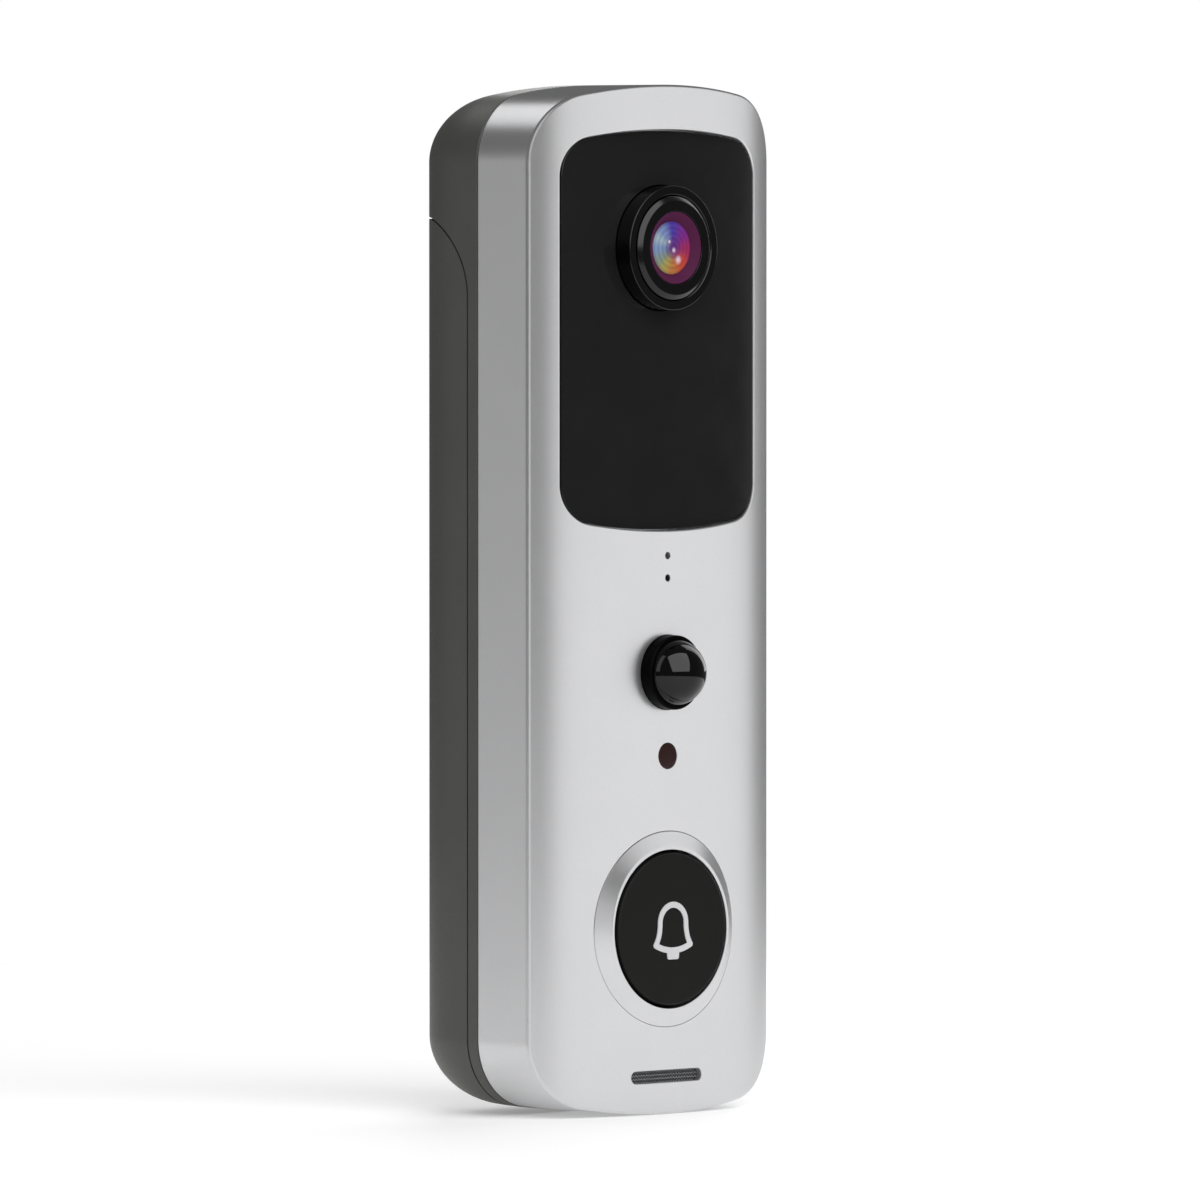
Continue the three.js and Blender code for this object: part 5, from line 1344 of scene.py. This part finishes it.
def screw(node, axis, centre, ends, radii, tools, body):
    """A screw along an axis: a domed head with a recess, and a threaded shank down to its tip."""
    seat, head, tip = ends
    radius, shank = radii
    out = math.copysign(1.0, head - seat)
    height = abs(head - seat)
    profile = [[0.0, head]]
    for angle in np.linspace(0.15, QUARTER, 10):
        rise = height * (0.45 + 0.55 * math.cos(angle))
        profile.append([radius * math.sin(angle), seat + out * rise])
    profile += [[radius, seat], [shank, seat]]
    turns = int(abs(tip - seat) / THREAD_PITCH) - 1
    for turn in range(1, turns * 2):
        along = seat - out * THREAD_PITCH / 2 * (turn + 1)
        profile.append([shank if turn % 2 else shank * 0.8, along])
    profile += [[shank * 0.35, tip], [0.0, tip]]
    obj = cut(turned(profile, centre, axis, SMALL_CIRCLE), *tools)
    return finished(obj, node, "screw_steel", 40, body=body)


def case_screws():
    for number in range(1, 7):
        node = f"case_screw_{number}"
        low, high, (x, _, z) = span(node)
        ends = (high[1] - SCREW_HEAD["height"], high[1], low[1])
        recess = high[1] - 0.6
        cross = [
            block(x - 1, x + 1, recess, FAR, z - 0.2, z + 0.2),
            block(x - 0.2, x + 0.2, recess, FAR, z - 1, z + 1),
        ]
        radii = (SCREW_HEAD["radius"], SCREW_SHANK["radius"])
        screw(node, "Y", (x, z), ends, radii, cross, "doorbell_body")


def lock_screw():
    low, high = LOCK.low[2], LOCK.high[2]
    ends = (low + LOCK_SCREW["head_height"] - PART_GAP, low, high)
    radii = (LOCK_SCREW["head"], LOCK_SCREW["shank"])
    socket = post(0.75, -FAR, low + 0.6, LOCK_SCREW_Y, 6)
    screw("lock_screw", "Z", (0, LOCK_SCREW_Y), ends, radii, [socket], "wall_cover")


# ---- battery bay


def battery(word):
    """A wrapped cell: rolled edges, a shoulder groove and a raised cap at the top."""
    low, high, (x, _, _) = span(f"battery_{word}")
    bottom, top = low[2], high[2] - 0.9
    radius = CELL_RADIUS
    profile = [
        [0, bottom],
        [radius - 1.2, bottom],
        [radius - 0.9, bottom + 0.12],
        [radius, bottom],
        [radius, top - 2.6],
        [radius - 0.22, top - 2.2],
        [radius, top - 1.8],
        [radius, top],
        [radius - 1.4, top],
        [radius - 1.6, top - 0.25],
        [2.8, top - 0.25],
        [2.8, high[2]],
        [0, high[2]],
    ]
    obj = turned(rounded(profile, 0.35), (x, CELL_Y), "Z")
    finished(obj, f"battery_{word}", "cell_wrap", 50)
    wrap = radius - 1.5
    second_look(obj, "tinned_metal", lambda px, py, pz: math.hypot(px - x, py - CELL_Y) < wrap)


def battery_spring(word):
    """A conical contact spring."""
    low, high, (x, _, _) = span(f"battery_spring_{word}")
    wire, widest, turns = 0.225, 3.4, 2.5
    shares = np.linspace(0, 1, 160)
    angle = 2 * math.pi * turns * shares
    radius = widest * (1 - 0.45 * shares)
    height = (high[2] - low[2]) - 2 * wire
    x = x if abs(x) < CELL_X else math.copysign(CELL_X, x)
    path = [x + radius * np.cos(angle), CELL_Y + radius * np.sin(angle), low[2] + wire + height * shares]
    points, faces = [], []
    tube(points, faces, np.stack(path, 1), wire, 12, (0, 0, 1))
    finished(mesh_object(points, faces), f"battery_spring_{word}", "tinned_metal", 60)


def battery_contact(word):
    """A spring-steel plate with a pressed dimple for the cell's cap."""
    low, high, (x, y, _) = span(f"battery_contact_{word}")
    plate = block(low[0], high[0], low[1], high[1], low[2], high[2])
    foot, floor = low[2] - 1, low[2] + 0.2
    dimple = [[0, foot], [2.6, foot], [2.2, floor], [0, floor]]
    cut(plate, turned(dimple, (x, y), "Z", SMALL_CIRCLE))
    soften(plate, 0.12)
    finished(plate, f"battery_contact_{word}", "tinned_metal", 40)


# ---- service panel


def rounded_slot(half_x, half_z, corner, x, z, steps=8):
    """A rounded rectangle in X and Z."""
    parts = []
    for i, (right, up) in enumerate(((1, 1), (-1, 1), (-1, -1), (1, -1))):
        centre = x + right * (half_x - corner), z + up * (half_z - corner)
        parts.append(arc(*centre, corner, i * QUARTER, (i + 1) * QUARTER, steps))
    return np.concatenate(parts)


def usb_socket():
    """A reversible USB socket: rounded steel shell, a tongue in the middle of its mouth."""
    x, z = USB.mid[0], SERVICE_Z
    half_x, half_z = (USB.high[0] - USB.low[0]) / 2, (USB.high[2] - USB.low[2]) / 2
    steel = 0.3
    front, back = USB.low[1], USB.high[1]
    socket = prism(rounded_slot(half_x, half_z, half_z - 0.1, x, z), front, back)
    inner = rounded_slot(half_x - steel, half_z - steel, half_z - steel - 0.1, x, z)
    cut(socket, prism(inner, front + 1, FAR))
    join(socket, block(x - 2.6, x + 2.6, front + 0.5, back - 0.6, z - 0.35, z + 0.35))
    return finished(socket, "usb_socket", "tinned_metal", 35)


def reset_button():
    foot, tip = RESET.low[1], RESET.high[1]
    step = foot + 0.5
    profile = [[0, foot], [2.2, foot], [2.2, step], [RESET_RADIUS, step], [RESET_RADIUS, tip], [0, tip]]
    obj = turned(rounded(profile, 0.28), (RESET.mid[0], SERVICE_Z), steps=SMALL_CIRCLE)
    return finished(obj, "reset_button", "black_plastic", 40, body="reset_button")


# ---- assembly

front_shell()
window_panel()
lens_ring()
lens_barrel()
lens_glass()
pir_lens()
indicator_lens()
charge_light_pipe()
button_bezel()
button_cap()
bell_symbol()
speaker_mesh()
rear_housing()
rear_cover()
housing_seal()
case_screws()
lock_screw()
for word in ("left", "right"):
    battery(word)
    battery_spring(word)
    battery_contact(word)
usb_socket()
reset_button()

for row in frame["record"]["subparts"]:
    for holder in frame["nodes"][row["node"]].material_slots:
        holder.material = MATERIALS[row["material_slot"]]

# ---- camera

CAMERA = {"azimuth": -45.0, "elevation": 1.72, "distance": 1.7831, "lens": 398.6}
CAMERA_AIM = Vector((0.0, CREASE * MM, 0.0))
CAMERA_SHIFT = (-0.00648, -0.00009)  # sideways and up, in metres


def direction(azimuth, elevation):
    """Outward from the doorbell, from angles in degrees. Azimuth 0 is straight in front."""
    a, e = math.radians(azimuth), math.radians(elevation)
    return Vector((math.sin(a) * math.cos(e), -math.cos(a) * math.cos(e), math.sin(e)))


def add_camera():
    """A long lens that looks at the doorbell's front left edge from just above its middle."""
    azimuth = math.radians(CAMERA["azimuth"])
    back = direction(CAMERA["azimuth"], CAMERA["elevation"])
    right = Vector((math.cos(azimuth), math.sin(azimuth), 0))
    up = back.cross(right)
    data = bpy.data.cameras.new("camera")
    data.lens = CAMERA["lens"]
    data.sensor_width = 36
    data.clip_end = 50
    camera = add_object("camera", data)
    spot = CAMERA_AIM + back * CAMERA["distance"] + right * CAMERA_SHIFT[0] + up * CAMERA_SHIFT[1]
    turn = Matrix((right, up, back)).transposed().to_4x4()
    camera.matrix_world = Matrix.Translation(spot) @ turn
    bpy.context.scene.camera = camera


add_camera()

# ---- light and floor

PAINTED = ["front_shell_fine", "button_bezel_fine"]
AMBIENT = 0.14
LIGHT_DISTANCE = 1.0

# Azimuth and elevation in degrees, width and height in metres, radiance, and what it lights
SOFTBOXES = {
    "face": (40.5, 4, 1.28, 0.9, 1.0, "paint"),
    "edge": (-32, 18, 0.50, 1.2, 0.72, "paint"),
    "side": (-135, -4, 0.9, 0.5, 0.36, None),
    "corner": (-172, 50, 0.7, 0.22, 1.7, None),
    "front": (-17, 36, 1.30, 1.25, 2.7, "rest"),
    "right": (112, 30, 0.95, 1.20, 2.0, "rest"),
    "left": (-100, 30, 0.35, 1.0, 1.2, "rest"),
    "window inner": (56, 0, 0.16, 1.0, 0.5, "window"),
    "window outer": (72, 0, 0.52, 1.0, 1.8, "window"),
}


def light_group(name, keep):
    """The visual pieces whose names pass keep, as a collection that lights can be held to."""
    group = bpy.data.collections.new(name)
    for obj in bpy.context.scene.objects:
        if obj.type == "MESH" and keep(obj.name):
            group.objects.link(obj)
    return group


def studio_lights():
    """Soft lights that face the doorbell: some only for the paint, the window or all the rest."""
    groups = {
        None: None,
        "paint": light_group("paint lighting", lambda name: name in PAINTED),
        "rest": light_group("gloss lighting", lambda name: name not in PAINTED),
        "window": light_group("window lighting", lambda name: name == "window_panel_fine"),
    }
    for name, (azimuth, elevation, width, height, radiance, lit) in SOFTBOXES.items():
        data = bpy.data.lights.new(name, "AREA")
        data.shape = "RECTANGLE"
        data.size, data.size_y = width, height
        data.energy = radiance * math.pi * width * height
        light = add_object(f"{name} softbox", data)
        light.visible_camera = False
        out = direction(azimuth, elevation)
        light.location = out * LIGHT_DISTANCE
        light.rotation_euler = out.to_track_quat("Z", "Y").to_euler()
        light.light_linking.receiver_collection = groups[lit]


def studio_world():
    """White behind the doorbell, dim grey as light."""
    world = bpy.data.worlds.new("studio")
    bpy.context.scene.world = world
    world.use_nodes = True
    nodes, links = world.node_tree.nodes, world.node_tree.links
    nodes.clear()
    mix = nodes.new("ShaderNodeMixShader")
    for socket, strength in ((1, AMBIENT), (2, 1.0)):
        background = nodes.new("ShaderNodeBackground")
        background.inputs["Color"].default_value = (1, 1, 1, 1)
        background.inputs["Strength"].default_value = strength
        links.new(background.outputs[0], mix.inputs[socket])
    path = nodes.new("ShaderNodeLightPath")
    links.new(path.outputs["Is Camera Ray"], mix.inputs[0])
    output = nodes.new("ShaderNodeOutputWorld")
    links.new(mix.outputs[0], output.inputs["Surface"])


def studio_floor():
    """A plain white floor that the doorbell stands on."""
    bpy.ops.mesh.primitive_circle_add(vertices=96, radius=0.34, fill_type="NGON")
    floor = bpy.context.object
    floor.name = "studio_floor"
    floor.location.z = BOTTOM * MM
    material = bpy.data.materials.new("floor_white")
    material.use_nodes = True
    inputs = material.node_tree.nodes["Principled BSDF"].inputs
    inputs["Base Color"].default_value = (0.78, 0.78, 0.78, 1)
    inputs["Roughness"].default_value = 0.7
    inputs["Emission Color"].default_value = (1, 1, 1, 1)
    inputs["Emission Strength"].default_value = 0.25
    floor.data.materials.append(material)


studio_world()
studio_floor()
studio_lights()
bpy.context.scene.view_settings.view_transform = "Standard"
